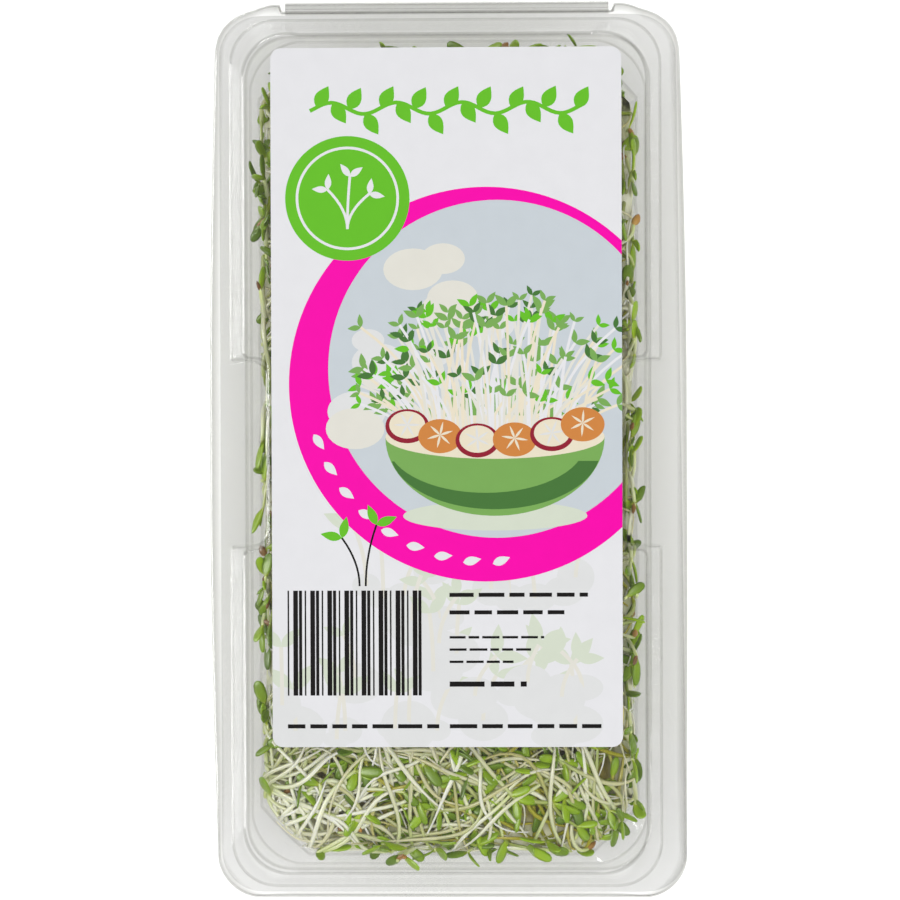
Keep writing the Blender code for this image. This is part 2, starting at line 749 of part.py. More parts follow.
def main():
    """Build the pack and what is in it."""
    clear_scene()
    clear_sheet = make_material("clear_sheet", (0.92, 0.93, 0.92), 0.08, alpha=0.3)
    paper = make_material("label_paper", (0.86, 0.86, 0.87), 0.45)
    sprout = make_material("sprout", (0.82, 0.82, 0.62), 0.4)

    pivot = bpy.data.objects.new("lid_pivot", None)
    pivot.location = Vector((0.0, HALF_LENGTH + FIT_GAP / 2.0, LID_FLANGE - SHEET - FIT_GAP / 2.0)) * MM
    bpy.context.collection.objects.link(pivot)

    build_tray(clear_sheet)
    build_lid(clear_sheet, pivot)
    build_label(paper, pivot)
    build_sprouts(sprout)


main()
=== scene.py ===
"""Looks of a clear hinged pack full of sprouts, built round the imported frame.

The pack is one thin formed sheet: a tray, a lid and the hinge strip between them. A printed paper
label lies on the lid, and a tangle of sprouts fills the tray. Lengths are in millimetres in the
classes below and are turned into metres as each mesh is made.
"""
import logging
import math
from dataclasses import dataclass, field
from enum import Enum

import bmesh
import bpy
import numpy as np
from mathutils import Matrix, Vector, geometry, noise


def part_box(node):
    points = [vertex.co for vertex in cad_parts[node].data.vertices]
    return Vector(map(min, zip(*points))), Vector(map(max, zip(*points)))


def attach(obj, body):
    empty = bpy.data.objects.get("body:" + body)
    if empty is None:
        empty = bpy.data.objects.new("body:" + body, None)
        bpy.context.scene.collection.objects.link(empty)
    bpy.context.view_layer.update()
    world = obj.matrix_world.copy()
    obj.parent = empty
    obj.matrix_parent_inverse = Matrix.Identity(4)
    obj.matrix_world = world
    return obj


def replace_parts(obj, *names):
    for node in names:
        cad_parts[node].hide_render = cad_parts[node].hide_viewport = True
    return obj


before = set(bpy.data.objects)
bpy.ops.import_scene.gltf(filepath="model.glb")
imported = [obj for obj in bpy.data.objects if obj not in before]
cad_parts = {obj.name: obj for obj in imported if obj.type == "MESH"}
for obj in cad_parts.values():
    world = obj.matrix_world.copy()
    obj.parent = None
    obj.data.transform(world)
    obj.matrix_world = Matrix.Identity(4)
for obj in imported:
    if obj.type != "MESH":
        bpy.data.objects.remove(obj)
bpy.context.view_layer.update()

LOG = logging.getLogger("pack")
MM = 0.001
PHOTO_PIXELS = 900
SENSOR = 36.0
LEAST = 1e-6
TINY = 1e-9

Array = np.ndarray
Pair = tuple[float, float]
Triple = tuple[float, float, float]
Colour = Triple
Stops = tuple[tuple[float, Colour], ...]
Socket = bpy.types.NodeSocket
Corner = bmesh.types.BMVert


def box_mm(node: str) -> tuple[Vector, Vector]:
    """The lowest and highest corner of a CAD node, in millimetres.

    Args:
        node: the node's name.

    Returns:
        The two corners.
    """
    low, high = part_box(node)
    return low / MM, high / MM


def linear(red: int, green: int, blue: int) -> Colour:
    """A colour given as screen values from 0 to 255, as the shaders want it.

    Args:
        red: screen value.
        green: screen value.
        blue: screen value.

    Returns:
        The colour in linear light.
    """
    return tuple(((value / 255.0 + 0.055) / 1.055) ** 2.4 if value > 10 else value / 3294.6
                 for value in (red, green, blue))


class Body(Enum):
    """The CAD bodies that pieces ride on."""

    TRAY = "tray"
    LID = "lid"


class Slot(Enum):
    """The record's material slots."""

    SHEET = "clear_sheet"
    PAPER = "label_paper"
    SPROUT = "sprout"


class Role(Enum):
    """What a light is for."""

    SOFT = "lights matt surfaces alone"
    SPARKLE = "shows in gloss alone"


class Ink(Enum):
    """What a part of the label is printed with, in the order of the label's material slots."""

    PAPER = 0
    MAGENTA = 1
    GREEN = 2
    BLACK = 3
    SKY = 4
    CREAM = 5
    LEAF = 6
    DEEP_LEAF = 7
    ORANGE = 8
    CRIMSON = 9
    GHOST_LEAF = 10
    GHOST_STEM = 11
    GHOST_FIELD = 12
    BACK = 13


@dataclass
class Nodes:
    """A material's node tree with short ways to add and join nodes."""

    material: bpy.types.Material

    @classmethod
    def blank(cls, name: str) -> "Nodes":
        """Start a material with no nodes but its output.

        Args:
            name: the material's name.

        Returns:
            The node tree's helper.
        """
        material = bpy.data.materials.new(name)
        material.use_nodes = True
        material.node_tree.nodes.clear()
        return cls(material)

    def add(self, kind: str, **values: object) -> bpy.types.Node:
        """Add a node and set its properties and unlinked inputs.

        Args:
            kind: the node's type name without its ShaderNode prefix.
            values: properties by name, and inputs by their name with underscores for spaces.

        Returns:
            The new node.
        """
        node = self.material.node_tree.nodes.new("ShaderNode" + kind)
        for name, value in values.items():
            title = name.replace("_", " ")
            if title in node.inputs:
                node.inputs[title].default_value = value
            else:
                setattr(node, name, value)
        return node

    def join(self, source: Socket, target: Socket) -> None:
        """Link an output to an input."""
        self.material.node_tree.links.new(source, target)

    def ramp(self, source: Socket, stops: Stops) -> Socket:
        """A colour ramp.

        Args:
            source: what drives it.
            stops: places from 0 to 1 with their colours.

        Returns:
            The ramp's colour output.
        """
        node = self.add("ValToRGB")
        elements = node.color_ramp.elements
        while len(elements) < len(stops):
            elements.new(0.5)
        for element, (place, colour) in zip(elements, stops):
            element.position = place
            element.color = (*colour, 1.0)
        self.join(source, node.inputs["Fac"])
        return node.outputs["Color"]

    def mix(self, share: Socket | float, first: object, second: object,
            blend: str = "MIX") -> Socket:
        """Mix two colours.

        Args:
            share: how much of the second colour, as a number or an output.
            first: a colour or an output.
            second: a colour or an output.
            blend: the way they mix.

        Returns:
            The mixed colour's output.
        """
        node = self.add("Mix", data_type="RGBA", blend_type=blend)
        sockets = (node.inputs[0], node.inputs[6], node.inputs[7])
        for socket, value in zip(sockets, (share, first, second)):
            if isinstance(value, Socket):
                self.join(value, socket)
            elif isinstance(value, tuple):
                socket.default_value = (*value, 1.0)
            else:
                socket.default_value = value
        return node.outputs[2]

    def noise(self, scale: float, detail: float = 2.0, stretch: Triple = (1, 1, 1)) -> Socket:
        """Noise in the object's own coordinates.

        Args:
            scale: how many waves there are to a metre.
            detail: how many finer layers it has.
            stretch: a factor for each axis.

        Returns:
            The noise's factor output.
        """
        place = self.add("TexCoord")
        mapping = self.add("Mapping", Scale=stretch)
        waves = self.add("TexNoise", Scale=scale, Detail=detail)
        self.join(place.outputs["Object"], mapping.inputs["Vector"])
        self.join(mapping.outputs["Vector"], waves.inputs["Vector"])
        return waves.outputs["Fac"]

    def bump(self, height: Socket, strength: float, distance: float) -> Socket:
        """A bump from a height.

        Args:
            height: the output that gives the height.
            strength: from 0 to 1.
            distance: the height's size in metres.

        Returns:
            The normal output.
        """
        node = self.add("Bump", Strength=strength, Distance=distance)
        self.join(height, node.inputs["Height"])
        return node.outputs["Normal"]

    def finish(self, shader: Socket) -> bpy.types.Material:
        """Join the shader to the material's output.

        Args:
            shader: the surface shader's output.

        Returns:
            The finished material.
        """
        output = self.add("OutputMaterial")
        self.join(shader, output.inputs["Surface"])
        return self.material

    def coat(self, tone: Socket, normal: Socket, **values: object) -> bpy.types.Material:
        """Finish the material with one principled shader.

        Args:
            tone: the base colour's output.
            normal: the bump's output.
            values: the shader's unlinked inputs, with underscores for spaces.

        Returns:
            The finished material.
        """
        shader = self.add("BsdfPrincipled", **values)
        self.join(tone, shader.inputs["Base Color"])
        self.join(normal, shader.inputs["Normal"])
        return self.finish(shader.outputs[0])

    def power(self, source: Socket, exponent: float) -> Socket:
        """A value raised to an exponent."""
        node = self.add("Math", operation="POWER")
        self.join(source, node.inputs[0])
        node.inputs[1].default_value = exponent
        return node.outputs[0]


@dataclass(frozen=True)
class ClearSheet:
    """Thin clear formed plastic: it tints what lies behind it, mirrors at its edges and has painted
    shade at its bends.
    """

    name: str
    face_tint: Colour
    edge_tint: Colour
    # Painted shade: the darker film colour where the sheet bends.
    painted_bend_shade: Colour = (0.76, 0.76, 0.75)
    edge_power: float = 5.0
    roughness: float = 0.06
    base_mirror: float = 0.03
    edge_mirror: float = 0.3
    mirror_power: float = 5.0
    waves: float = 40.0
    wave_height: float = 0.00012
    wave_strength: float = 0.4

    def material(self) -> bpy.types.Material:
        """The sheet's material."""
        nodes = Nodes.blank(self.name)
        facing = nodes.add("LayerWeight", Blend=0.5).outputs["Facing"]
        film = nodes.add("BsdfTransparent")
        flat = nodes.mix(nodes.power(facing, self.edge_power), self.face_tint, self.edge_tint)
        # Painted shade: the bend attribute darkens the film at bends, edge bands and hinge ribs.
        bend = nodes.add("Attribute", attribute_name="bend").outputs["Fac"]
        nodes.join(nodes.mix(bend, flat, self.painted_bend_shade), film.inputs["Color"])
        gloss = nodes.add("BsdfAnisotropic", Roughness=self.roughness)
        ripple = nodes.bump(nodes.noise(self.waves, 1.0), self.wave_strength, self.wave_height)
        nodes.join(ripple, gloss.inputs["Normal"])
        mirror = nodes.add("Math", operation="MULTIPLY_ADD")
        nodes.join(nodes.power(facing, self.mirror_power), mirror.inputs[0])
        mirror.inputs[1].default_value = self.edge_mirror
        mirror.inputs[2].default_value = self.base_mirror
        blend = nodes.add("MixShader")
        nodes.join(mirror.outputs[0], blend.inputs[0])
        nodes.join(film.outputs[0], blend.inputs[1])
        nodes.join(gloss.outputs[0], blend.inputs[2])
        return nodes.finish(blend.outputs[0])


@dataclass(frozen=True)
class PrintedPaper:
    """Coated label paper, bare or printed with one ink, with a fine tooth and slight mottle."""

    name: str
    colour: Colour
    level: float = 0.8
    mottle: float = 0.02
    roughness: float = 0.4
    gloss: float = 0.06
    tooth_scale: float = 900.0
    tooth_height: float = 0.00002
    tooth_strength: float = 0.3
    blotch_scale: float = 220.0

    def material(self) -> bpy.types.Material:
        """The paper's material in this ink."""
        nodes = Nodes.blank(self.name)
        lighter = tuple(value * self.level for value in self.colour)
        darker = tuple(value * (1.0 - 3.0 * self.mottle) for value in lighter)
        tone = nodes.mix(nodes.noise(self.blotch_scale, 3.0), darker, lighter)
        tooth = nodes.bump(nodes.noise(self.tooth_scale), self.tooth_strength, self.tooth_height)
        return nodes.coat(tone, tooth, Roughness=self.roughness, Specular_IOR_Level=self.gloss)


@dataclass(frozen=True)
class SproutSkin:
    """Moist plant skin whose colour runs along each sprout and differs from one to the next; for
    stems that difference is painted shade by depth.
    """

    name: str
    light: Stops
    dark: Stops
    roughness: float = 0.32
    glow: float = 0.25
    glow_scale: float = 0.0012
    glow_reach: Triple = (1.0, 0.9, 0.4)
    fibre_scale: float = 1500.0
    fibre_height: float = 0.00008
    fibre_strength: float = 0.35

    def material(self) -> bpy.types.Material:
        """The skin's material."""
        nodes = Nodes.blank(self.name)
        along = nodes.add("Attribute", attribute_name="along").outputs["Fac"]
        tone = nodes.add("Attribute", attribute_name="tone").outputs["Fac"]
        base = nodes.mix(tone, nodes.ramp(along, self.dark), nodes.ramp(along, self.light))
        fibres = nodes.bump(nodes.noise(self.fibre_scale), self.fibre_strength, self.fibre_height)
        return nodes.coat(base, fibres, Roughness=self.roughness, Subsurface_Weight=self.glow,
                          Subsurface_Scale=self.glow_scale, Subsurface_Radius=self.glow_reach)


@dataclass(frozen=True)
class PackedHeart:
    """The middle of the tangle, seen in gaps between sprouts: painted shade makes it dark inside,
    paler at the walls.
    """

    name: str = "packed_heart"
    roughness: float = 0.5
    streak_scale: float = 420.0
    streak_stretch: Triple = (1.0, 0.45, 1.0)
    streak_height: float = 0.001
    streak_strength: float = 0.8
    low_place: float = 0.35
    high_place: float = 0.66
    # Painted shade: inner is the sprouts' yellow-olive darkened for the tangle's shaded depths; rim
    # is paler where the tangle lies lit against the walls.
    inner: tuple[Colour, Colour] = (linear(84, 76, 8), linear(170, 154, 50))
    rim: tuple[Colour, Colour] = (linear(214, 216, 170), linear(250, 250, 228))

    def material(self) -> bpy.types.Material:
        """The heart's material."""
        nodes = Nodes.blank(self.name)
        streaks = nodes.noise(self.streak_scale, 4.0, self.streak_stretch)
        tones = [nodes.ramp(streaks, ((self.low_place, low), (self.high_place, high)))
                 for low, high in (self.inner, self.rim)]
        tone = nodes.mix(nodes.add("Attribute", attribute_name="rim").outputs["Fac"], *tones)
        normal = nodes.bump(streaks, self.streak_strength, self.streak_height)
        return nodes.coat(tone, normal, Roughness=self.roughness)


def add_piece(name: str, mesh: bpy.types.Mesh,
              materials: list[bpy.types.Material]) -> bpy.types.Object:
    """Link a mesh as a smooth-shaded object.

    Args:
        name: the piece's name.
        mesh: its mesh, in metres.
        materials: its material slots in order.

    Returns:
        The new object.
    """
    for material in materials:
        mesh.materials.append(material)
    mesh.shade_smooth()
    item = bpy.data.objects.new(name, mesh)
    bpy.context.scene.collection.objects.link(item)
    return item


def mesh_of(name: str, points: Array, faces: Array | list[tuple[int, ...]]) -> bpy.types.Mesh:
    """A mesh from points in millimetres.

    Args:
        name: the mesh's name.
        points: an array of places.
        faces: corner numbers of each face.

    Returns:
        The mesh, in metres.
    """
    mesh = bpy.data.meshes.new(name)
    corners = faces if isinstance(faces, list) else faces.tolist()
    mesh.from_pydata((np.asarray(points) * MM).tolist(), [], corners)
    mesh.update()
    return mesh


def corner_turn(half_x: float, half_y: float, radius: float, cut: float,
                steps: int) -> list[Pair]:
    """The +X +Y corner of an outline, from its side to its end.

    Args:
        half_x: half the outline's width.
        half_y: half its length.
        radius: the corner's size.
        cut: 0 for a round corner, 1 for one cut straight.
        steps: how many points it has.

    Returns:
        The corner's points.
    """
    points = []
    for step in range(steps):
        share = step / (steps - 1)
        angle = math.radians(90.0 * share)
        arc = (half_x - radius + radius * math.cos(angle),
               half_y - radius + radius * math.sin(angle))
        chord = (half_x - radius * share, half_y - radius * (1.0 - share))
        points.append(tuple(a + (c - a) * cut for a, c in zip(arc, chord)))
    return points


def ring_from(half: list[Pair], height: float) -> Array:
    """A closed ring from its +X half.

    Args:
        half: points from the -Y end round to the +Y end.
        height: the ring's height.

    Returns:
        An array of the ring's places.
    """
    outline = half + [(-x, y) for x, y in reversed(half)]
    return np.array([(x, y, height) for x, y in outline])


def soften(rings: list[Array], radii: list[float], steps: int,
           most: float = 0.45) -> tuple[list[Array], list[float]]:
    """Round a stack of rings where the sheet bends at each of them.

    Args:
        rings: rings of the same number of points, from the middle of the sheet outwards.
        radii: the size of each ring's bend, 0 for a ring that is kept as it is.
        steps: rings that stand for each rounded bend.
        most: the most that a bend takes of the way to the next ring.

    Returns:
        The longer stack of rings, and each one's painted shade from 0 to 1, highest halfway round a
        bend.
    """
    smooth, bends = [rings[0]], [0.0]
    for before, ring, after, radius in zip(rings, rings[1:], rings[2:], radii[1:]):
        if radius == 0.0:
            smooth.append(ring)
            bends.append(0.0)
            continue
        ends = []
        for other in (before, after):
            gap = other - ring
            length = np.maximum(np.linalg.norm(gap, axis=1, keepdims=True), LEAST)
            ends.append(ring + gap * np.minimum(radius / length, most))
        for share in np.linspace(0.0, 1.0, steps):
            smooth.append((1 - share) ** 2 * ends[0] + 2 * share * (1 - share) * ring
                          + share ** 2 * ends[1])
            # Painted shade peaks halfway round each bend.
            bends.append(math.sin(math.pi * share))
    return smooth + [rings[-1]], bends + [0.0]


@dataclass
class FormedSheet:
    """Builds one formed sheet from rings, with a hinge leaf, and gives it its thickness."""

    name: str
    upward: bool
    thickness: float = 0.42
    # Painted shade on the hinge ribs, as a share of the bend tint.
    rib_shade: float = 0.75
    rib_rows: int = 12
    evenness: int = 80
    bm: bmesh.types.BMesh = field(default_factory=bmesh.new)

    def vert(self, place: Array, bend: float) -> Corner:
        """Add a corner, with how much painted shade the sheet takes there."""
        corner = self.bm.verts.new(Vector(place) * MM)
        corner[self.bm.verts.layers.float["bend"]] = bend
        return corner

    def loft(self, rings: list[Array], bends: list[float], open_steps: tuple[int, ...] = ()
             ) -> list[list[Corner]]:
        """Join rings with faces.

        Args:
            rings: from the middle of the sheet outwards.
            bends: how much painted shade each ring takes, from 0 to 1.
            open_steps: steps round the ring that the last band leaves out.

        Returns:
            The corners of each ring.
        """
        # The bend layer holds the film's painted shade.
        self.bm.verts.layers.float.new("bend")
        loops = [[self.vert(place, bend) for place in ring] for ring, bend in zip(rings, bends)]
        last = len(loops) - 2
        for band, (inner, outer) in enumerate(zip(loops, loops[1:])):
            for here in range(len(inner)):
                if band == last and here in open_steps:
                    continue
                after = (here + 1) % len(inner)
                self.face(inner[here], outer[here], outer[after], inner[after])
        return loops

    def face(self, *corners: Corner) -> None:
        """Add a face that looks the sheet's way."""
        self.bm.faces.new(corners if self.upward else tuple(reversed(corners)))

    def hinge_leaf(self, start: Corner, end: Corner, fold_y: float, rise: float) -> None:
        """Add a ribbed strip from the flange out to the fold line.

        Args:
            start: the flange's corner on the +X side.
            end: its corner on the -X side.
            fold_y: where the fold line lies.
            rise: the height of the ribs.
        """
        row = (start, end)
        first, last = start.co / MM, end.co / MM
        side = 1.0 if self.upward else -1.0
        for step in range(1, self.rib_rows + 1):
            share = step / self.rib_rows
            wave = math.sin(2.0 * math.pi * share) ** 2
            y, z = first.y + (fold_y - first.y) * share, first.z + side * rise * wave
            # Painted shade on the ribs, strongest where they rise.
            after = tuple(self.vert((edge.x, y, z), self.rib_shade * wave)
                          for edge in (first, last))
            self.face(row[0], after[0], after[1], row[1])
            row = after

    def piece(self, material: bpy.types.Material) -> bpy.types.Object:
        """The finished sheet with its thickness.

        Args:
            material: the clear sheet's material.

        Returns:
            The new object.
        """
        loose = [vert for vert in self.bm.verts if not vert.link_faces]
        bmesh.ops.delete(self.bm, geom=loose, context="VERTS")
        mesh = bpy.data.meshes.new(self.name)
        self.bm.to_mesh(mesh)
        self.bm.free()
        item = add_piece(self.name, mesh, [material])
        solid = item.modifiers.new("sheet", "SOLIDIFY")
        solid.thickness = self.thickness * MM
        solid.offset = -1.0
        solid.use_even_offset = True
        even = item.modifiers.new("even light", "WEIGHTED_NORMAL")
        even.weight = self.evenness
        return item


@dataclass(frozen=True)
class Level:
    """One level of the tray: half size, corner, how far that is cut, flutes, height and bend."""

    half_x: float
    half_y: float
    corner: float
    cut: float
    flute: float
    height: float
    bend: float


@dataclass
class Tray:
    """The deep clear tray: a stepped mouth, fluted sides, cut corners and a panelled floor."""

    centre_y: float = -0.6
    mouth_z: float = 31.6
    flange_half: float = 52.9
    flange_slant: float = 1.2
    flange_ends: Pair = (-102.6, 101.0)
    flange_radius: float = 9.5
    hinge_half: float = 37.5
    fold_y: float = 103.9
    flutes: int = 6
    flute_profile: tuple[Pair, ...] = (
        (-0.46, 0.0), (-0.36, 0.25), (-0.28, 0.8), (-0.18, 1.0),
        (0.18, 1.0), (0.28, 0.8), (0.36, 0.25), (0.46, 0.0))
    flute_end: float = 4.0
    end_gap: float = 1.5
    rib_rise: float = 0.2
    corner_steps: int = 12
    bend_steps: int = 4
    levels: tuple[Level, ...] = (
        Level(32.0, 81.0, 9.5, 0.8, 0.0, 1.0, 0.0),
        Level(33.5, 82.5, 9.5, 0.8, 0.0, 0.0, 0.8),
        Level(40.6, 90.5, 11.5, 0.9, 0.0, 0.0, 1.6),
        Level(42.0, 91.9, 11.5, 0.9, 0.9, 4.4, 2.0),
        Level(44.2, 94.1, 11.5, 0.9, 0.45, 27.0, 0.55),
        Level(46.2, 96.1, 10.8, 0.25, 0.0, 28.4, 0.5),
        Level(46.9, 96.8, 10.5, 0.0, 0.0, 31.6, 0.5),
    )

    def outline(self, level: Level, end_x: float | None = None) -> Array:
        """The ring of one level.

        Args:
            level: the level's sizes.
            end_x: where the straight ends stop, if they are longer than the corners leave.

        Returns:
            The ring.
        """
        turn = corner_turn(level.half_x, level.half_y, level.corner, level.cut, self.corner_steps)
        end_x = level.half_x - level.corner - self.end_gap if end_x is None else end_x
        span = level.half_y - level.corner - self.flute_end
        pitch = 2.0 * span / self.flutes
        sides = [(level.half_x - level.flute * depth, -span + pitch * (index + 0.5 + along))
                 for index in range(self.flutes) for along, depth in self.flute_profile]
        half = [(end_x, -level.half_y), *[(x, -y) for x, y in reversed(turn)], *sides, *turn,
                (end_x, level.half_y)]
        return ring_from([(x, y + self.centre_y) for x, y in half], level.height)

    def flange_edge(self) -> Array:
        """The ring of the flange's edge, which has its own two ends."""
        low, high = self.flange_ends
        level = Level(self.flange_half, (high - low) / 2.0, self.flange_radius, 0.0, 0.0,
                      self.mouth_z, 0.0)
        ring = self.outline(level, end_x=self.hinge_half)
        ring[:, 1] += (high + low) / 2.0 - self.centre_y
        outer = ring[:, 0] > self.hinge_half
        ring[outer, 0] += self.flange_slant * (1.0 - ring[outer, 1] / high)
        return ring

    def build(self, material: bpy.types.Material) -> bpy.types.Object:
        """Build the tray and put it in the frame.

        Args:
            material: the clear sheet's material.

        Returns:
            The tray's piece.
        """
        sheet = FormedSheet("tray_sheet", upward=False)
        rings = [self.outline(level) for level in self.levels] + [self.flange_edge()]
        bends = [level.bend for level in self.levels] + [0.0]
        # The rounded bends also get painted shade in the film.
        rings, bends = soften(rings, bends, self.bend_steps)
        loops = sheet.loft(rings, bends)
        sheet.face(*loops[0])
        edge = loops[-1]
        middle = len(edge) // 2
        sheet.hinge_leaf(edge[middle - 1], edge[middle], self.fold_y, self.rib_rise)
        piece = sheet.piece(material)
        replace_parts(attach(piece, Body.TRAY.value), "tray")
        return piece


@dataclass
class Lid:
    """The raised clear lid with two finger recesses, a sloped facet at its hinge and a lip."""

    centre_y: float = -0.6
    flange_z: float = 33.1
    panel_z: float = 44.6
    half_length: float = 103.9
    flange_half: float = 53.7
    bow: float = 1.6
    bow_half: float = 92.0
    spread: float = 0.8
    corner_radius: float = 8.5
    corner_cut: float = 0.25
    low_edge_x: float = 36.0
    lip_depth: float = 2.3
    lip_end_depth: float = 0.5
    lip_fade: float = 10.0
    lip_flare: float = 0.2
    # Painted shade: edge_shade darkens the film in a band edge_band wide at the flange's outer edge
    # and over the lip.
    edge_band: float = 2.4
    edge_shade: float = 0.95
    dome_x: float = -0.45
    shoulder: Pair = (50.4, 101.1)
    foot: Pair = (49.9, 100.6)
    crest: Pair = (46.35, 96.2)
    radius: float = 10.5
    recess_half: float = 21.8
    recess_floor: float = 8.6
    recess_crest: float = 5.8
    recess_radius: float = 3.2
    recess_ease: float = 1.6
    recess_taper: float = 0.7
    facet_start: float = 82.0
    facet_top: float = 30.0
    facet_end: float = 33.0
    facet_foot: float = 36.6
    facet_flank: float = 1.2
    facet_drop: float = 1.8
    hinge_half: float = 37.5
    hinge_root: float = 101.9
    hinge_ease: float = 0.7
    rib_rise: float = 0.25
    panel_inset: float = 2.0
    least_inboard: float = 0.35
    bends: tuple[float, ...] = (0.0, 0.75, 0.55, 0.0, 0.0, 0.45, 0.0)
    stations: tuple[float, ...] = (30.0, 40.0, 51.0, 62.0, 73.0)
    ear: tuple[Pair, ...] = (
        (53.7, 91.0), (53.5, 93.6), (52.9, 96.0), (51.8, 98.0), (50.3, 99.6), (48.4, 100.9),
        (46.4, 101.7), (44.4, 102.3), (42.9, 102.9), (41.4, 103.3), (40.0, 103.45), (38.6, 103.4))
    corner_steps: int = 12
    recess_steps: int = 6
    bend_steps: int = 5

    def side(self, half_x: float, depth: float, flare: float) -> list[Pair]:
        """The +X side of one level, from -Y to +Y, with or without the finger recess.

        Args:
            half_x: the side's place.
            depth: how far the recess goes in, 0 for a plain side.
            flare: how much longer the recess is here.

        Returns:
            The side's points.
        """
        length = self.recess_half + flare
        if not depth:
            places = np.linspace(length - self.recess_radius, length + self.recess_ease,
                                 2 * self.recess_steps + 1)
            upper = [(half_x, float(y)) for y in places] + [(half_x, y) for y in self.stations]
            return [(x, -y) for x, y in reversed(upper)] + upper
        upper = []
        for step in range(self.recess_steps + 1):
            angle = math.radians(90.0 * step / self.recess_steps)
            upper.append((half_x - depth + self.recess_radius * (1.0 - math.cos(angle)),
                          length - self.recess_radius * (1.0 - math.sin(angle))))
        for step in range(1, self.recess_steps + 1):
            angle = math.radians(90.0 * step / self.recess_steps)
            upper.append((half_x - self.recess_ease * (1.0 - math.sin(angle)),
                          length + self.recess_ease * (1.0 - math.cos(angle))))
        upper.extend((half_x, y) for y in self.stations)
        return [(x, -y) for x, y in reversed(upper)] + upper

    def outline(self, half: Pair, height: float, depth: float = 0.0, flare: float = 0.0,
                crest: bool = True, drop: float = 0.0) -> Array:
        """The ring of one level of the wall or the panel.

        Args:
            half: half its width and length.
            height: its height.
            depth: how far the finger recesses go in.
            flare: how much longer they are here.
            crest: whether it is the wall's top rather than its foot.
            drop: how far the facet lies below it at the hinge.

        Returns:
            The ring.
        """
        half_x, half_y = half
        turn = corner_turn(half_x, half_y, self.radius, 0.0, self.corner_steps)
        facet_x = self.facet_end if crest else self.facet_foot
        points = [(facet_x, -half_y), *[(x, -y) for x, y in reversed(turn)],
                  *self.side(half_x, depth, flare), *turn, (facet_x + self.facet_flank, half_y),
                  (facet_x, half_y)]
        ring = ring_from([(x, y + self.centre_y) for x, y in points], height)
        ring[:, 0] += self.dome_x
        middle = len(ring) // 2
        ring[middle - 1:middle + 1, 2] -= drop
        return ring

    def flange_edge(self, grow: float) -> Array:
        """The ring of the flange's edge: bowed sides, two ears and the roots of the hinge.

        Args:
            grow: how far it stands outside its own size.

        Returns:
            The ring.
        """
        turn = corner_turn(self.flange_half, self.half_length, self.corner_radius, self.corner_cut,
                           self.corner_steps)
        low_turn = [(x + grow * x / self.flange_half, -y + self.lip_flare - grow)
                    for x, y in reversed(turn)]
        sides = [(x + grow + self.bow * (1.0 - (y / self.bow_half) ** 2), y)
                 for x, y in self.side(self.flange_half, 0.0, 0.0)]
        ear = [(x + grow, y) for x, y in self.ear]
        roots = [(x, self.hinge_root) for x in (self.hinge_half + self.hinge_ease, self.hinge_half)]
        low_edge = (self.low_edge_x, -self.half_length + self.lip_flare - grow)
        ring = ring_from([low_edge, *low_turn, *sides, *ear, *roots], self.flange_z)
        near = (ring[:, 0] > self.hinge_half) & (ring[:, 1] < 0.0)
        ring[near, 0] += self.bow * self.spread * (ring[near, 1] / self.bow_half) ** 2
        return ring

    def lip(self) -> Array:
        """The ring of the lip's lower edge, which fades out towards the hinge."""
        ring = self.flange_edge(self.lip_flare)
        share = np.clip((self.facet_start + self.lip_fade - ring[:, 1]) / self.lip_fade, 0.0, 1.0)
        ring[:, 2] -= self.lip_end_depth + (self.lip_depth - self.lip_end_depth) * share
        return ring

    def fill_panel(self, sheet: FormedSheet, edge: list[Corner]) -> None:
        """Fill the top: the flat panel, the sloped facet and its two narrow flanks.

        Args:
            sheet: the lid's sheet.
            edge: the corners of the panel's edge.
        """
        middle = len(edge) // 2
        right_low, left_low = edge[middle - 1], edge[middle]
        right_high, left_high = edge[middle - 2], edge[middle + 1]
        tops = [sheet.vert((x, self.facet_start, self.panel_z), 0.0)
                for x in (self.facet_top, -self.facet_top)]
        sheet.face(*edge[:middle - 1], tops[0], tops[1], *edge[middle + 1:])
        sheet.face(right_low, left_low, tops[1], tops[0])
        sheet.face(right_high, right_low, tops[0])
        sheet.face(left_high, tops[1], left_low)

    def build(self, material: bpy.types.Material) -> bpy.types.Object:
        """Build the lid and put it in the frame.

        Args:
            material: the clear sheet's material.

        Returns:
            The lid's piece.
        """
        sheet = FormedSheet("lid_sheet", upward=True)
        foot = self.outline(self.foot, self.flange_z, self.recess_floor, -self.recess_taper,
                            crest=False)
        crest = self.outline(self.crest, self.panel_z, self.recess_crest, drop=self.facet_drop)
        inner = self.outline([side - self.panel_inset for side in self.crest], self.panel_z,
                             self.recess_crest, self.panel_inset, drop=self.facet_drop)
        shoulder = self.outline(self.shoulder, self.flange_z, crest=False)
        flange = self.flange_edge(0.0)
        # The inboard ring marks where the painted shade of the outer band begins.
        gap = np.linalg.norm(flange - shoulder, axis=1, keepdims=True)
        reach = np.maximum(1.0 - self.edge_band / gap, self.least_inboard)
        inboard = shoulder + (flange - shoulder) * reach
        rings = [inner, crest, foot, shoulder, inboard, flange, self.lip()]
        rings, bends = soften(rings, list(self.bends), self.bend_steps)
        rings, bends = rings[1:], bends[1:]
        # Painted shade on the flange's outer fillet and the lip.
        bends[-self.bend_steps - 1:] = [self.edge_shade] * (self.bend_steps + 1)
        middle = len(flange) // 2
        loops = sheet.loft(rings, bends, open_steps=(middle - 2, middle - 1, middle))
        self.fill_panel(sheet, loops[0])
        roots = loops[-2]
        sheet.hinge_leaf(roots[middle - 1], roots[middle], self.half_length, self.rib_rise)
        piece = sheet.piece(material)
        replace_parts(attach(piece, Body.LID.value), "lid")
        return piece


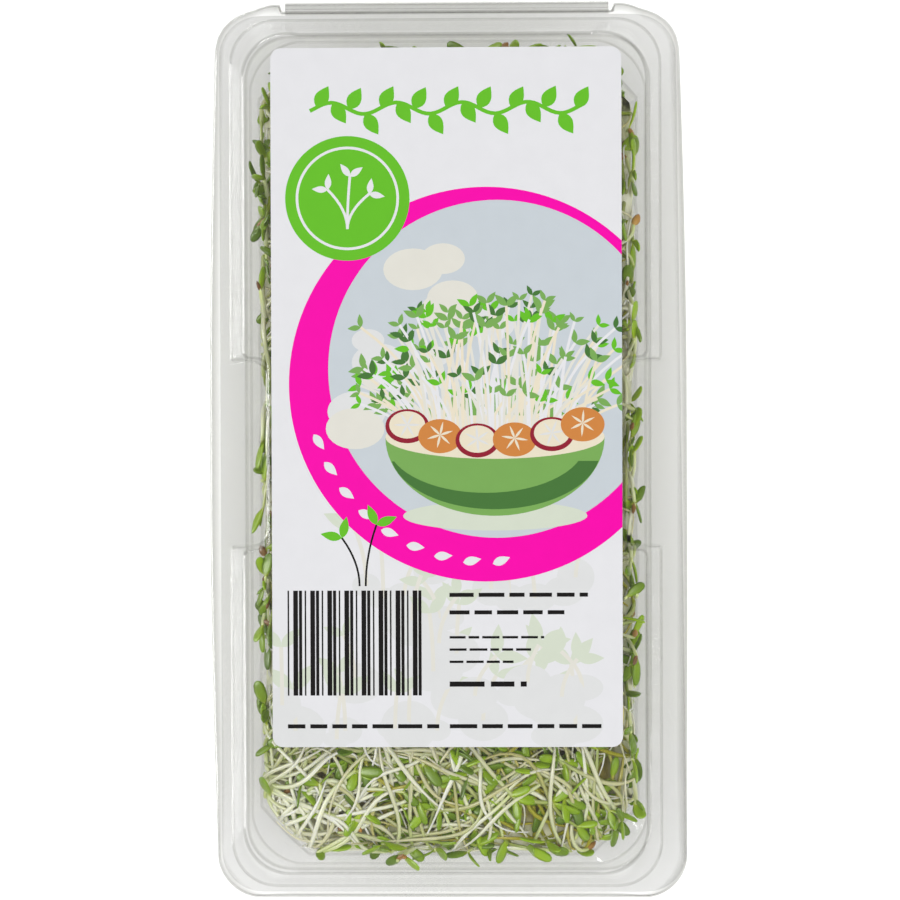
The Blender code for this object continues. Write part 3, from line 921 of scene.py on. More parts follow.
@dataclass
class Cavity:
    """The room inside the closed pack, which sprouts are pressed into."""

    centre_y: float = -0.6
    floor: float = 1.6
    panel: float = 44.1
    recess_ceiling: float = 32.6
    recess_x: float = 40.2
    recess_y: float = 23.2
    facet_start: float = 80.0
    facet_drop: float = 1.8
    chamfer: float = 11.5
    heights: tuple[float, ...] = (0.0, 4.4, 27.0, 28.6, 31.4, 33.2, 44.2)
    half_widths: tuple[float, ...] = (39.6, 40.7, 43.3, 43.9, 44.1, 44.1, 44.1)
    end_extra: float = 49.9

    def ceiling(self, places: Array) -> Array:
        """Height of the lid's underside over each place.

        Args:
            places: an array of places.

        Returns:
            The heights.
        """
        beside = (np.abs(places[:, 0]) > self.recess_x) & (np.abs(places[:, 1]) < self.recess_y)
        top = np.where(beside, self.recess_ceiling, self.panel)
        return top - np.where(places[:, 1] > self.facet_start, self.facet_drop, 0.0)

    def settle(self, pieces: Array, margin: float, slack: float) -> Array:
        """Move small pieces inside the pack whole, and leave out those that lie too far outside.

        Args:
            pieces: (pieces, points, 3) places.
            margin: how far inside the sheet they stay.
            slack: how far outside a piece may lie before it is left out.

        Returns:
            The places of the pieces that stay.
        """
        shift = self.press(pieces.reshape(-1, 3), margin).reshape(pieces.shape) - pieces
        reach = np.linalg.norm(shift, axis=2)
        stays = reach.max(axis=1) < slack
        move = shift[np.arange(len(pieces)), reach.argmax(axis=1)]
        moved = pieces[stays] + move[stays][:, None]
        return self.press(moved.reshape(-1, 3), margin).reshape(moved.shape)

    def press(self, places: Array, margin: float) -> Array:
        """Move what lies outside the pack to just inside it.

        Args:
            places: an array of places.
            margin: how far inside the sheet they stay.

        Returns:
            The moved places.
        """
        moved = places.copy()
        moved[:, 1] -= self.centre_y
        moved[:, 2] = np.clip(moved[:, 2], self.floor + margin, self.ceiling(places) - margin)
        half_x = np.interp(moved[:, 2], self.heights, self.half_widths) - margin
        half_y = half_x + self.end_extra
        moved[:, 0] = np.clip(moved[:, 0], -half_x, half_x)
        moved[:, 1] = np.clip(moved[:, 1], -half_y, half_y)
        over = np.abs(moved[:, 0]) + np.abs(moved[:, 1]) - (half_x + half_y - self.chamfer)
        over = np.maximum(over, 0.0)[:, None] / 2.0
        moved[:, :2] -= np.sign(moved[:, :2]) * over
        moved[:, 1] += self.centre_y
        return moved


class Face(Enum):
    """The sides of the heap that sprouts lie along."""

    TOP = "top"
    RIGHT = "right"
    LEFT = "left"
    NEAR = "near"
    FAR = "far"
    UNDER = "under"


@dataclass(frozen=True)
class FaceFrame:
    """One side of the heap: its middle, two directions along it, its outward one and sizes."""

    middle: Triple
    across: Triple
    along: Triple
    out: Triple
    half_across: float
    half_along: float


FACES = {
    Face.TOP: FaceFrame((0, -0.6, 30.0), (1, 0, 0), (0, 1, 0), (0, 0, 1), 38.5, 89.5),
    Face.UNDER: FaceFrame((0, -0.6, 2.6), (1, 0, 0), (0, 1, 0), (0, 0, -1), 38.0, 88.0),
    Face.RIGHT: FaceFrame((42.0, -0.6, 16.0), (0, 0, 1), (0, 1, 0), (1, 0, 0), 12.0, 86.0),
    Face.LEFT: FaceFrame((-42.0, -0.6, 16.0), (0, 0, 1), (0, 1, 0), (-1, 0, 0), 12.0, 86.0),
    Face.NEAR: FaceFrame((0, -92.4, 16.0), (0, 0, 1), (1, 0, 0), (0, -1, 0), 12.0, 36.0),
    Face.FAR: FaceFrame((0, 91.2, 16.0), (0, 0, 1), (1, 0, 0), (0, 1, 0), 12.0, 36.0),
}


@dataclass(frozen=True)
class Crown:
    """The heap's rolling top, which is low at its edge and high inside."""

    half_x: float = 43.0
    half_y: float = 93.0
    slope: float = 0.3
    edge: float = -1.0
    rise: float = 4.5
    roll: float = 2.5
    roll_size: float = 17.0
    roll_layer: float = 3.0

    def share(self, across: Array, along: Array) -> Array:
        """How far places lie in from the heap's edge, from 0 at the edge to 1 inside."""
        out = np.maximum(np.abs(across) / self.half_x, np.abs(along) / self.half_y)
        return np.sqrt(np.clip((1.0 - out) / self.slope, 0.0, 1.0))

    def height(self, across: Array, along: Array) -> Array:
        """How far the top stands over its plane at places on it.

        Args:
            across: places across it.
            along: places along it.

        Returns:
            The heights.
        """
        roll = np.array([noise.noise(Vector((x, y, self.roll_layer)) / self.roll_size)
                         for x, y in zip(across, along)])
        return self.edge + self.share(across, along) * (self.rise + self.roll * roll)


@dataclass
class Crop:
    """A number of sprouts along one side of the heap: their stems, seed leaves and hulls."""

    face: Face
    count: int
    span: Pair = (-1.0, 1.0)
    stem_points: int = 19
    sides: int = 5
    length: Pair = (26.0, 46.0)
    root_share: float = 0.34
    radius: Pair = (0.42, 0.62)
    root_radius: float = 0.16
    crown: Crown = Crown()
    depth: float = 4.8
    depth_power: float = 1.3
    arch: Pair = (0.4, 3.4)
    arch_power: float = 1.5
    flow_size: float = 26.0
    flow_layer: float = 7.0
    flow_turn: float = 3.6
    heading: float = 1.0
    heading_spread: float = 0.55
    bend: float = 0.5
    waves: int = 3
    wander: float = 0.5
    wave_rate: float = 1.7
    wave_stretch: float = 2.2
    curl: float = 1.4
    curl_power: float = 1.5
    ripple: float = 0.5
    ripple_rate: float = 9.0
    tip_rise: float = 2.4
    tip_power: int = 3
    tone_spread: float = 0.15
    leaf_length: Pair = (4.6, 7.2)
    leaf_width: Pair = (2.0, 3.0)
    leaf_thickness: float = 0.7
    leaf_spread: Pair = (0.25, 1.15)
    leaf_roll: float = 0.9
    leaf_lift: Pair = (-0.15, 0.55)
    leaf_bow: Pair = (0.05, 0.22)
    leaf_foot: float = 0.2
    leaf_stations: tuple[Pair, ...] = (
        (0.0, 0.2), (0.14, 0.46), (0.34, 0.88), (0.6, 1.0), (0.84, 0.86), (0.96, 0.5))
    leaf_sides: int = 6
    hull_share: float = 0.16
    hull_length: float = 2.9
    hull_width: float = 1.7
    hull_spread: Pair = (0.8, 1.2)
    hull_flatness: float = 0.6
    hull_turn: float = 0.5
    hull_stations: tuple[Pair, ...] = (
        (0.0, 0.35), (0.2, 0.85), (0.5, 1.0), (0.8, 0.7), (0.96, 0.28))
    margin: float = 0.5
    # Painted shade by depth: shade sets how light the outermost sprouts are, contrast how fast
    # deeper ones darken.
    shade: float = 0.72
    contrast: float = 1.6

    def surface(self, across: Array, along: Array) -> Array:
        """How far the heap stands out from the face's plane at places on it."""
        if self.face is not Face.TOP:
            return np.zeros_like(across)
        return self.crown.height(across, along)

    def headings(self, across: Array, along: Array, rng: np.random.Generator) -> Array:
        """Draw which way each sprout lies: with its neighbours, or the other way round.

        Args:
            across: the sprouts' middles across the face.
            along: the middles along it.
            rng: the source of random draws.

        Returns:
            The directions in radians.
        """
        flow = np.array([noise.noise(Vector((a, b, self.flow_layer)) / self.flow_size)
                         for a, b in zip(across, along)])
        return (self.heading + flow * self.flow_turn
                + rng.normal(0.0, self.heading_spread, self.count)
                + rng.choice((0.0, math.pi), self.count))

    def turns(self, heading: Array, share: Array, rng: np.random.Generator) -> tuple[Array, Array]:
        """Draw how the sprouts' direction changes along them.

        Args:
            heading: each sprout's own direction.
            share: the points' places along a sprout, 0 to 1.
            rng: the source of random draws.

        Returns:
            The direction at every point, and the waves' phases.
        """
        bend = rng.normal(0.0, self.bend, self.count)[:, None]
        waves = rng.normal(0.0, self.wander, (self.count, self.waves))
        phase = rng.uniform(0, 2 * math.pi, (self.count, self.waves))
        turn = heading[:, None] + bend * (share - 0.5) * 2.0
        for wave in range(self.waves):
            rate = (wave + 1) * self.wave_rate
            swing = np.sin(rate * self.wave_stretch * share + phase[:, wave][:, None])
            turn = turn + (waves[:, wave] / (wave + 1))[:, None] * swing
        root = np.clip(1.0 - share / self.root_share, 0.0, 1.0)[None, :]
        curl = rng.normal(0.0, self.curl, self.count)[:, None]
        return turn + curl * root ** self.curl_power, phase

    def centrelines(self, rng: np.random.Generator) -> tuple[Array, Array, Array]:
        """Draw the sprouts' centrelines.

        Args:
            rng: the source of random draws.

        Returns:
            The places of every centreline's points, the face's outward direction, and each sprout's
            tone, which is darker the deeper it lies, as painted shade.
        """
        side = FACES[self.face]
        across0 = rng.uniform(-1, 1, self.count) * side.half_across
        along0 = rng.uniform(*self.span, self.count) * side.half_along
        heading = self.headings(across0, along0, rng)
        length = rng.uniform(*self.length, self.count)
        stride = (length / (self.stem_points - 1))[:, None]
        share = np.linspace(0.0, 1.0, self.stem_points)
        turn, phase = self.turns(heading, share, rng)
        across = across0[:, None] + np.cumsum(np.cos(turn) * stride, axis=1)
        along = along0[:, None] + np.cumsum(np.sin(turn) * stride, axis=1)
        across -= (across.mean(axis=1) - across0)[:, None]
        along -= (along.mean(axis=1) - along0)[:, None]
        height = self.surface(across.ravel(), along.ravel()).reshape(across.shape)
        level = -self.depth * rng.random(self.count) ** self.depth_power
        swell = np.sin(math.pi * share)[None, :] ** self.arch_power
        arch = rng.uniform(*self.arch, self.count)[:, None] * swell
        ripple = self.ripple * np.sin(self.ripple_rate * share[None, :] + phase[:, :1])
        rise = rng.uniform(0.0, self.tip_rise, self.count)[:, None]
        tip = rise * share[None, :] ** self.tip_power
        out = height + level[:, None] + arch + ripple + tip
        places = (np.array(side.middle) + across[..., None] * np.array(side.across)
                  + along[..., None] * np.array(side.along) + out[..., None] * np.array(side.out))
        # Painted shade: deeper sprouts get a darker tone.
        lift = self.shade + level / self.depth + rng.normal(0.0, self.tone_spread, self.count)
        tone = np.clip(0.5 + self.contrast * (lift - 0.5), 0.0, 1.0)
        return places, np.array(side.out, float), tone


@dataclass
class Bundle:
    """Meshes gathered for one piece: points, triangles and the two values that colour them."""

    points: list[Array] = field(default_factory=list)
    triangles: list[Array] = field(default_factory=list)
    along: list[Array] = field(default_factory=list)
    tone: list[Array] = field(default_factory=list)
    size: int = 0

    def take(self, tubes: Array, stations: Array, tone: Array) -> None:
        """Take in many tubes of one pattern.

        Args:
            tubes: (tubes, points, 3) places, as swept makes them.
            stations: each ring's place along its tube, 0 to 1.
            tone: each tube's shade, 0 to 1.
        """
        count, size = tubes.shape[:2]
        sides = (size - 2) // len(stations)
        template = ring_triangles(len(stations), sides)
        firsts = self.size + np.arange(count) * size
        along = np.concatenate([np.repeat(stations, sides), [0.0, 1.0]])
        self.points.append(tubes.reshape(-1, 3))
        self.triangles.append((template[None] + firsts[:, None, None]).reshape(-1, 3))
        self.along.append(np.tile(along, count))
        self.tone.append(np.repeat(tone, size))
        self.size += count * size

    def piece(self, name: str, material: bpy.types.Material) -> bpy.types.Object:
        """One object of all that was gathered.

        Args:
            name: the piece's name.
            material: its material.

        Returns:
            The new object.
        """
        mesh = mesh_of(name, np.concatenate(self.points), np.concatenate(self.triangles))
        for title, values in (("along", self.along), ("tone", self.tone)):
            layer = mesh.attributes.new(title, "FLOAT", "POINT")
            layer.data.foreach_set("value", np.concatenate(values).astype(np.float32))
        return add_piece(name, mesh, [material])


def unit(vectors: Array) -> Array:
    """Vectors of length one along the same directions."""
    return vectors / np.maximum(np.linalg.norm(vectors, axis=-1, keepdims=True), TINY)


def ring_triangles(rings: int, sides: int) -> Array:
    """Triangles of one closed tube whose rings come first and whose two tips come last.

    Args:
        rings: how many rings it has.
        sides: points to a ring.

    Returns:
        An array of corner numbers.
    """
    faces = []
    for ring in range(rings - 1):
        for side in range(sides):
            here, after = ring * sides + side, ring * sides + (side + 1) % sides
            faces += [(here, after, after + sides), (here, after + sides, here + sides)]
    first, last = rings * sides, rings * sides + 1
    for side in range(sides):
        after = (side + 1) % sides
        faces.append((first, after, side))
        faces.append((last, (rings - 1) * sides + side, (rings - 1) * sides + after))
    return np.array(faces)


def swept(centres: Array, across: Array, up: Array, wide: Array, thick: Array, sides: int,
          start_tip: float = 0.6, end_tip: float = 0.35) -> Array:
    """Rings of points round many centrelines, with a tip at each end.

    Args:
        centres: (pieces, rings, 3) places.
        across: (pieces, rings or 1, 3) directions of the rings' width.
        up: (pieces, rings or 1, 3) directions of their thickness.
        wide: (pieces, rings) half widths.
        thick: (pieces, rings) half thicknesses.
        sides: points to a ring.
        start_tip: how far the first tip stands out, as a share of the step to the next ring.
        end_tip: the same for the last tip.

    Returns:
        (pieces, rings * sides + 2, 3) places.
    """
    angle = 2.0 * math.pi * np.arange(sides) / sides
    ring = (centres[:, :, None, :]
            + across[:, :, None, :] * (wide[:, :, None] * np.cos(angle))[..., None]
            + up[:, :, None, :] * (thick[:, :, None] * np.sin(angle))[..., None])
    body = ring.reshape(len(centres), -1, 3)
    start = centres[:, :1] * (1.0 + start_tip) - centres[:, 1:2] * start_tip
    end = centres[:, -1:] * (1.0 + end_tip) - centres[:, -2:-1] * end_tip
    return np.concatenate([body, start, end], axis=1)


@dataclass
class Heart:
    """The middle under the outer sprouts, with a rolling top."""

    half: Pair = (46.0, 96.0)
    steps: int = 64
    shares: tuple[float, ...] = (0.0, 0.12, 0.24, 0.36, 0.48, 0.6, 0.7, 0.8, 0.88, 0.94, 0.98)
    heights: tuple[float, ...] = (28.2, 15.0, 4.4, 2.6)
    under_share: float = 0.8
    least_share: float = 0.01
    top: float = 29.2
    dip: float = 5.0
    margin: float = 1.0
    rim_reach: Triple = (41.0, 91.0, 122.5)
    rim_start: float = 0.93
    rim_width: float = 0.06
    crown: Crown = Crown()

    def square(self) -> Array:
        """A square's edge of half size one, as a ring of points from its -X -Y corner."""
        corners = np.array(((-1, -1), (1, -1), (1, 1), (-1, 1)))
        return np.array([start + (stop - start) * step / self.steps
                         for start, stop in zip(corners, np.roll(corners, -1, axis=0))
                         for step in range(self.steps)])

    def build(self, cavity: Cavity, material: bpy.types.Material) -> bpy.types.Object:
        """Build the heart.

        Args:
            cavity: the room that it is pressed into.
            material: its material.

        Returns:
            The heart's piece.
        """
        loops = [(share, self.heights[0]) for share in self.shares]
        loops += [(1.0, height) for height in self.heights]
        loops += [(share, self.heights[-1]) for share in (self.under_share, 0.0)]
        flat = self.square() * np.array(self.half)
        size = len(flat)
        places = np.concatenate([
            np.column_stack([flat * max(share, self.least_share), np.full(size, height)])
            for share, height in loops])
        faces = []
        for loop in range(len(loops) - 1):
            for step in range(size):
                here, after = loop * size + step, loop * size + (step + 1) % size
                faces.append((here, here + size, after + size, after))
        faces.append(tuple(range(size)))
        last = (len(loops) - 1) * size
        faces.append(tuple(range(last + size - 1, last - 1, -1)))
        places[:, 1] += cavity.centre_y
        top = self.crown.height(places[:, 0], places[:, 1])
        inside = self.crown.share(places[:, 0], places[:, 1])
        on_top = np.arange(len(places)) < len(self.shares) * size
        places[on_top, 2] = (self.top + top - self.dip * inside)[on_top]
        places = cavity.press(places, self.margin)
        mesh = mesh_of("heart", places, faces)
        # The rim attribute takes the heart from its painted shade to the pale wall colour.
        reach = np.abs(places[:, :2])
        reach = np.column_stack([reach, reach.sum(axis=1)]) / np.array(self.rim_reach)
        rim = np.clip((reach.max(axis=1) - self.rim_start) / self.rim_width, 0.0, 1.0)
        layer = mesh.attributes.new("rim", "FLOAT", "POINT")
        layer.data.foreach_set("value", rim.astype(np.float32))
        return add_piece("sprout_heart", mesh, [material])


@dataclass(frozen=True)
class Tips:
    """The ends of one crop's stems: their places and directions, and the face's outward one."""

    places: Array
    tangent: Array
    out: Array


@dataclass
class Sprouts:
    """The tangle: stems that end in roots, pairs of seed leaves, brown hulls and a heart dark with
    painted shade.
    """

    seed: int = 11
    cavity: Cavity = field(default_factory=Cavity)
    leaf_room: Cavity = field(default_factory=lambda: Cavity(
        half_widths=(39.9, 41.0, 43.5, 45.2, 45.7, 46.2, 45.3), end_extra=50.4))
    leaf_slack: float = 2.6
    leaf_margin: float = 0.15
    line_margin: float = 0.3
    easing: int = 3
    strip_x: float = 38.2
    strip_y: float = 87.0
    strip_share: float = 0.27
    root_corner: Pair = (-37.0, -86.0)
    root_size: float = 13.0
    root_thinning: float = 0.6
    neck: float = 0.16
    girths: tuple[float, ...] = (0.0, 0.35, 1.0, 0.92, 0.7)
    crops: tuple[Crop, ...] = (
        Crop(Face.TOP, 850),
        Crop(Face.TOP, 160, span=(-1.0, -0.66)),
        # Wall crops lie lit against the clear sides, so their painted shade is lighter.
        *(Crop(face, count, depth=2.5, arch=(0.0, 1.2), shade=1.15) for face, count in (
            (Face.RIGHT, 150), (Face.LEFT, 150), (Face.NEAR, 70), (Face.FAR, 70))),
        Crop(Face.UNDER, 300, depth=2.0, arch=(0.0, 0.6)),
    )

    def rooted(self, places: Array) -> Array:
        """How near places lie to the corner that shows mostly roots, from 0 to 1."""
        return np.exp(-(((places[:, :2] - self.root_corner) / self.root_size) ** 2).sum(axis=1))

    def grow(self, crop: Crop, rng: np.random.Generator, stems: Bundle, leaves: Bundle,
             hulls: Bundle) -> None:
        """Grow one crop into the bundles.

        Args:
            crop: the crop's sizes.
            rng: the source of random draws.
            stems: takes the stems with their roots.
            leaves: takes the seed leaves.
            hulls: takes the hulls.
        """
        lines, out, tone = crop.centrelines(rng)
        count, rings = lines.shape[:2]
        tone = np.clip(tone + self.rooted(lines[:, rings // 2]), 0.0, 1.0)
        pressed = self.cavity.press(lines.reshape(-1, 3), crop.margin + self.line_margin)
        lines = pressed.reshape(lines.shape)
        for _ in range(self.easing):
            lines[:, 1:-1] = 0.25 * lines[:, :-2] + 0.5 * lines[:, 1:-1] + 0.25 * lines[:, 2:]
        tangent = unit(np.gradient(lines, axis=1))
        across = unit(np.cross(tangent, out))
        up = np.cross(across, tangent)
        share = np.linspace(0.0, 1.0, rings)
        marks = (0.0, crop.root_share, crop.root_share + self.neck, 0.9, 1.0)
        girth = np.interp(share, marks, self.girths)[None]
        radius = rng.uniform(*crop.radius, count)[:, None] * girth + crop.root_radius * (1 - girth)
        tubes = swept(lines, across, up, radius, radius, crop.sides)
        pressed = self.cavity.press(tubes.reshape(-1, 3), crop.margin - self.line_margin)
        stems.take(pressed.reshape(tubes.shape), share, tone)
        tips = Tips(lines[:, -1], tangent[:, -1], out)
        for hand in (-1.0, 1.0):
            self.open_leaf(crop, rng, tips, hand, leaves)
        self.add_hulls(crop, rng, tips, hulls)

    def open_leaf(self, crop: Crop, rng: np.random.Generator, tips: Tips, hand: float,
                  leaves: Bundle) -> None:
        """Add one seed leaf at each stem's tip.

        Args:
            crop: the crop's sizes.
            rng: the source of random draws.
            tips: the stems' ends.
            hand: which of the pair this is, -1 or 1.
            leaves: takes the leaves.
        """
        count, tangent, out = len(tips.places), tips.tangent, tips.out
        side = unit(np.cross(tangent, out))
        spread = rng.uniform(*crop.leaf_spread, count)[:, None] * hand
        heading = unit(tangent * np.cos(spread) + side * np.sin(spread)
                       + out * rng.uniform(*crop.leaf_lift, count)[:, None])
        roll = rng.normal(0.0, crop.leaf_roll, count)[:, None]
        flat = unit(np.cross(heading, np.broadcast_to(out, heading.shape)))
        normal = np.cross(flat, heading)
        across = flat * np.cos(roll) + normal * np.sin(roll)
        up = np.cross(across, heading)
        length = rng.uniform(*crop.leaf_length, count)[:, None]
        width = rng.uniform(*crop.leaf_width, count)[:, None]
        reach, girth = np.array(crop.leaf_stations).T
        bow = rng.uniform(*crop.leaf_bow, count)[:, None] * length * reach[None] ** 2
        centres = (tips.places[:, None] - tangent[:, None] * crop.leaf_foot
                   + heading[:, None] * (length * reach[None])[..., None]
                   - up[:, None] * bow[..., None])
        wide = width * 0.5 * girth[None]
        thick = crop.leaf_thickness * 0.5 * np.sqrt(girth[None]) * np.ones_like(width)
        tubes = swept(centres, across[:, None], up[:, None], wide, thick, crop.leaf_sides)
        settled = self.leaf_room.settle(tubes, self.leaf_margin, self.leaf_slack)
        middles = settled.mean(axis=1)
        beside = (np.abs(middles[:, 0]) > self.strip_x) | (np.abs(middles[:, 1]) > self.strip_y)
        chance = (np.where(beside & (crop.face is Face.TOP), self.strip_share, 1.0)
                  - self.root_thinning * self.rooted(middles))
        settled = settled[rng.random(len(settled)) < chance]
        leaves.take(settled, reach, rng.random(len(settled)))

    def add_hulls(self, crop: Crop, rng: np.random.Generator, tips: Tips, hulls: Bundle) -> None:
        """Add the brown hulls that some sprouts still wear.

        Args:
            crop: the crop's sizes.
            rng: the source of random draws.
            tips: the stems' ends.
            hulls: takes the hulls.
        """
        chosen = rng.random(len(tips.places)) < crop.hull_share
        places, tangent = tips.places[chosen], tips.tangent[chosen]
        count = len(places)
        heading = unit(tangent + rng.normal(0.0, crop.hull_turn, (count, 3)))
        across = unit(np.cross(heading, tips.out))
        up = np.cross(across, heading)
        reach, girth = np.array(crop.hull_stations).T
        length = reach[None] * np.ones((count, 1)) * crop.hull_length
        centres = places[:, None] + heading[:, None] * length[..., None]
        spread = rng.uniform(*crop.hull_spread, count)[:, None]
        wide = crop.hull_width * 0.5 * girth[None] * spread
        thick = wide * crop.hull_flatness
        tubes = swept(centres, across[:, None], up[:, None], wide, thick, crop.leaf_sides)
        settled = self.leaf_room.settle(tubes, self.leaf_margin, self.leaf_slack)
        hulls.take(settled, reach, rng.random(len(settled)))

    def build(self) -> list[bpy.types.Object]:
        """Build the tangle and put it in the frame.

        Returns:
            Its pieces.
        """
        rng = np.random.default_rng(self.seed)
        # Stem tone runs from the light ramp to the dark olive ramp as painted shade by depth; leaf
        # and hull tones are random.
        stem_skin = SproutSkin(
            "stem_skin",
            ((0.0, linear(253, 252, 244)), (0.35, linear(250, 249, 234)),
             (0.75, linear(240, 242, 208)), (1.0, linear(214, 226, 150))),
            ((0.0, linear(208, 194, 96)), (0.35, linear(182, 172, 44)),
             (0.75, linear(154, 156, 22)), (1.0, linear(124, 148, 8)))).material()
        leaf_skin = SproutSkin(
            "leaf_skin",
            ((0.0, linear(206, 214, 80)), (0.25, linear(166, 200, 4)), (1.0, linear(150, 190, 2))),
            ((0.0, linear(148, 160, 20)), (0.25, linear(106, 138, 2)), (1.0, linear(84, 116, 1))),
            roughness=0.4, glow=0.08).material()
        hull_skin = SproutSkin(
            "hull_skin",
            ((0.0, linear(210, 164, 84)), (1.0, linear(184, 128, 50))),
            ((0.0, linear(136, 92, 36)), (1.0, linear(100, 64, 22))),
            roughness=0.45, glow=0.03).material()
        pieces = [Heart().build(self.cavity, PackedHeart().material())]
        groups = {"top": (Face.TOP,),
                  "wall": (Face.RIGHT, Face.LEFT, Face.NEAR, Face.FAR),
                  "under": (Face.UNDER,)}
        for title, faces in groups.items():
            stems, leaves, hulls = Bundle(), Bundle(), Bundle()
            for crop in self.crops:
                if crop.face in faces:
                    self.grow(crop, rng, stems, leaves, hulls)
            pieces += [stems.piece(f"{title}_stems", stem_skin),
                       leaves.piece(f"{title}_seed_leaves", leaf_skin),
                       hulls.piece(f"{title}_hulls", hull_skin)]
        for piece in pieces:
            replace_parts(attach(piece, Body.TRAY.value), "sprouts")
        return pieces


@dataclass
class Print:
    """The label's printed shapes: flat outlines, later ones over earlier ones."""

    middle: float
    leaf_steps: int = 8
    leaf_belly: float = 0.8
    sprig_points: int = 9
    sprig_turns: Pair = (-0.85, 0.75)
    sprig_leaf: float = 0.42
    outlines: list[tuple[Ink, list[Pair]]] = field(default_factory=list)

    def at(self, x: float, y: float) -> Pair:
        """A place on the pack from one on the label."""
        return x, y + self.middle

    def area(self, ink: Ink, points: list[Pair]) -> None:
        """Add a closed outline, turned so that it runs counter-clockwise."""
        x, y = np.array(points).T
        turns_left = np.sum(x * np.roll(y, -1) - y * np.roll(x, -1)) > 0.0
        self.outlines.append((ink, points if turns_left else points[::-1]))

    def disc(self, ink: Ink, centre: Pair, radius: float, squash: float = 1.0,
             steps: int = 72) -> None:
        """Add a disc or an oval.

        Args:
            ink: what it is printed with.
            centre: its middle.
            radius: half its width.
            squash: its height as a share of its width.
            steps: points to its edge.
        """
        angles = [2.0 * math.pi * step / steps for step in range(steps)]
        self.area(ink, [(centre[0] + radius * math.cos(angle),
                         centre[1] + radius * squash * math.sin(angle)) for angle in angles])

    def bar(self, ink: Ink, low: Pair, high: Pair) -> None:
        """Add an upright rectangle."""
        self.area(ink, [low, (high[0], low[1]), high, (low[0], high[1])])

    def leaf(self, ink: Ink, base: Pair, heading: float, length: float, width: float) -> None:
        """Add a pointed oval leaf.

        Args:
            ink: what it is printed with.
            base: where it starts.
            heading: its direction in radians.
            length: its length.
            width: its width.
        """
        points = []
        for side in (1.0, -1.0):
            for step in range(self.leaf_steps + 1):
                reach = step / self.leaf_steps
                share = reach if side > 0 else 1.0 - reach
                if side < 0 and step in (0, self.leaf_steps):
                    continue
                half = 0.5 * width * math.sin(math.pi * share ** self.leaf_belly) * side
                x = base[0] + math.cos(heading) * length * share - math.sin(heading) * half
                y = base[1] + math.sin(heading) * length * share + math.cos(heading) * half
                points.append((x, y))
        self.area(ink, points)

    def stroke(self, ink: Ink, line: list[Pair], width: float) -> None:
        """Add a line of even width.

        Args:
            ink: what it is printed with.
            line: its middle's points.
            width: its width.
        """
        path = np.array(line, float)
        run = np.gradient(path, axis=0)
        run /= np.linalg.norm(run, axis=1, keepdims=True)
        side = np.stack([-run[:, 1], run[:, 0]], axis=1) * width / 2.0
        edge = np.concatenate([path + side, (path - side)[::-1]])
        self.area(ink, [tuple(point) for point in edge])

    def sprig(self, stem: Ink, leaf: Ink, foot: Pair, height: float, lean: float, size: float,
              width: float) -> None:
        """Add a generic seedling: a curved stem with two leaves.

        Args:
            stem: the stem's ink.
            leaf: the leaves' ink.
            foot: where the stem starts.
            height: how tall it stands.
            lean: how far its tip leans to the right.
            size: the leaves' length.
            width: the stem's width.
        """
        line = [(foot[0] + lean * share ** 2, foot[1] + height * share)
                for share in np.linspace(0, 1, self.sprig_points)]
        self.stroke(stem, line, width)
        tilt = math.atan2(height, 2.0 * lean)
        for turn in self.sprig_turns:
            self.leaf(leaf, line[-1], tilt + turn, size, size * self.sprig_leaf)


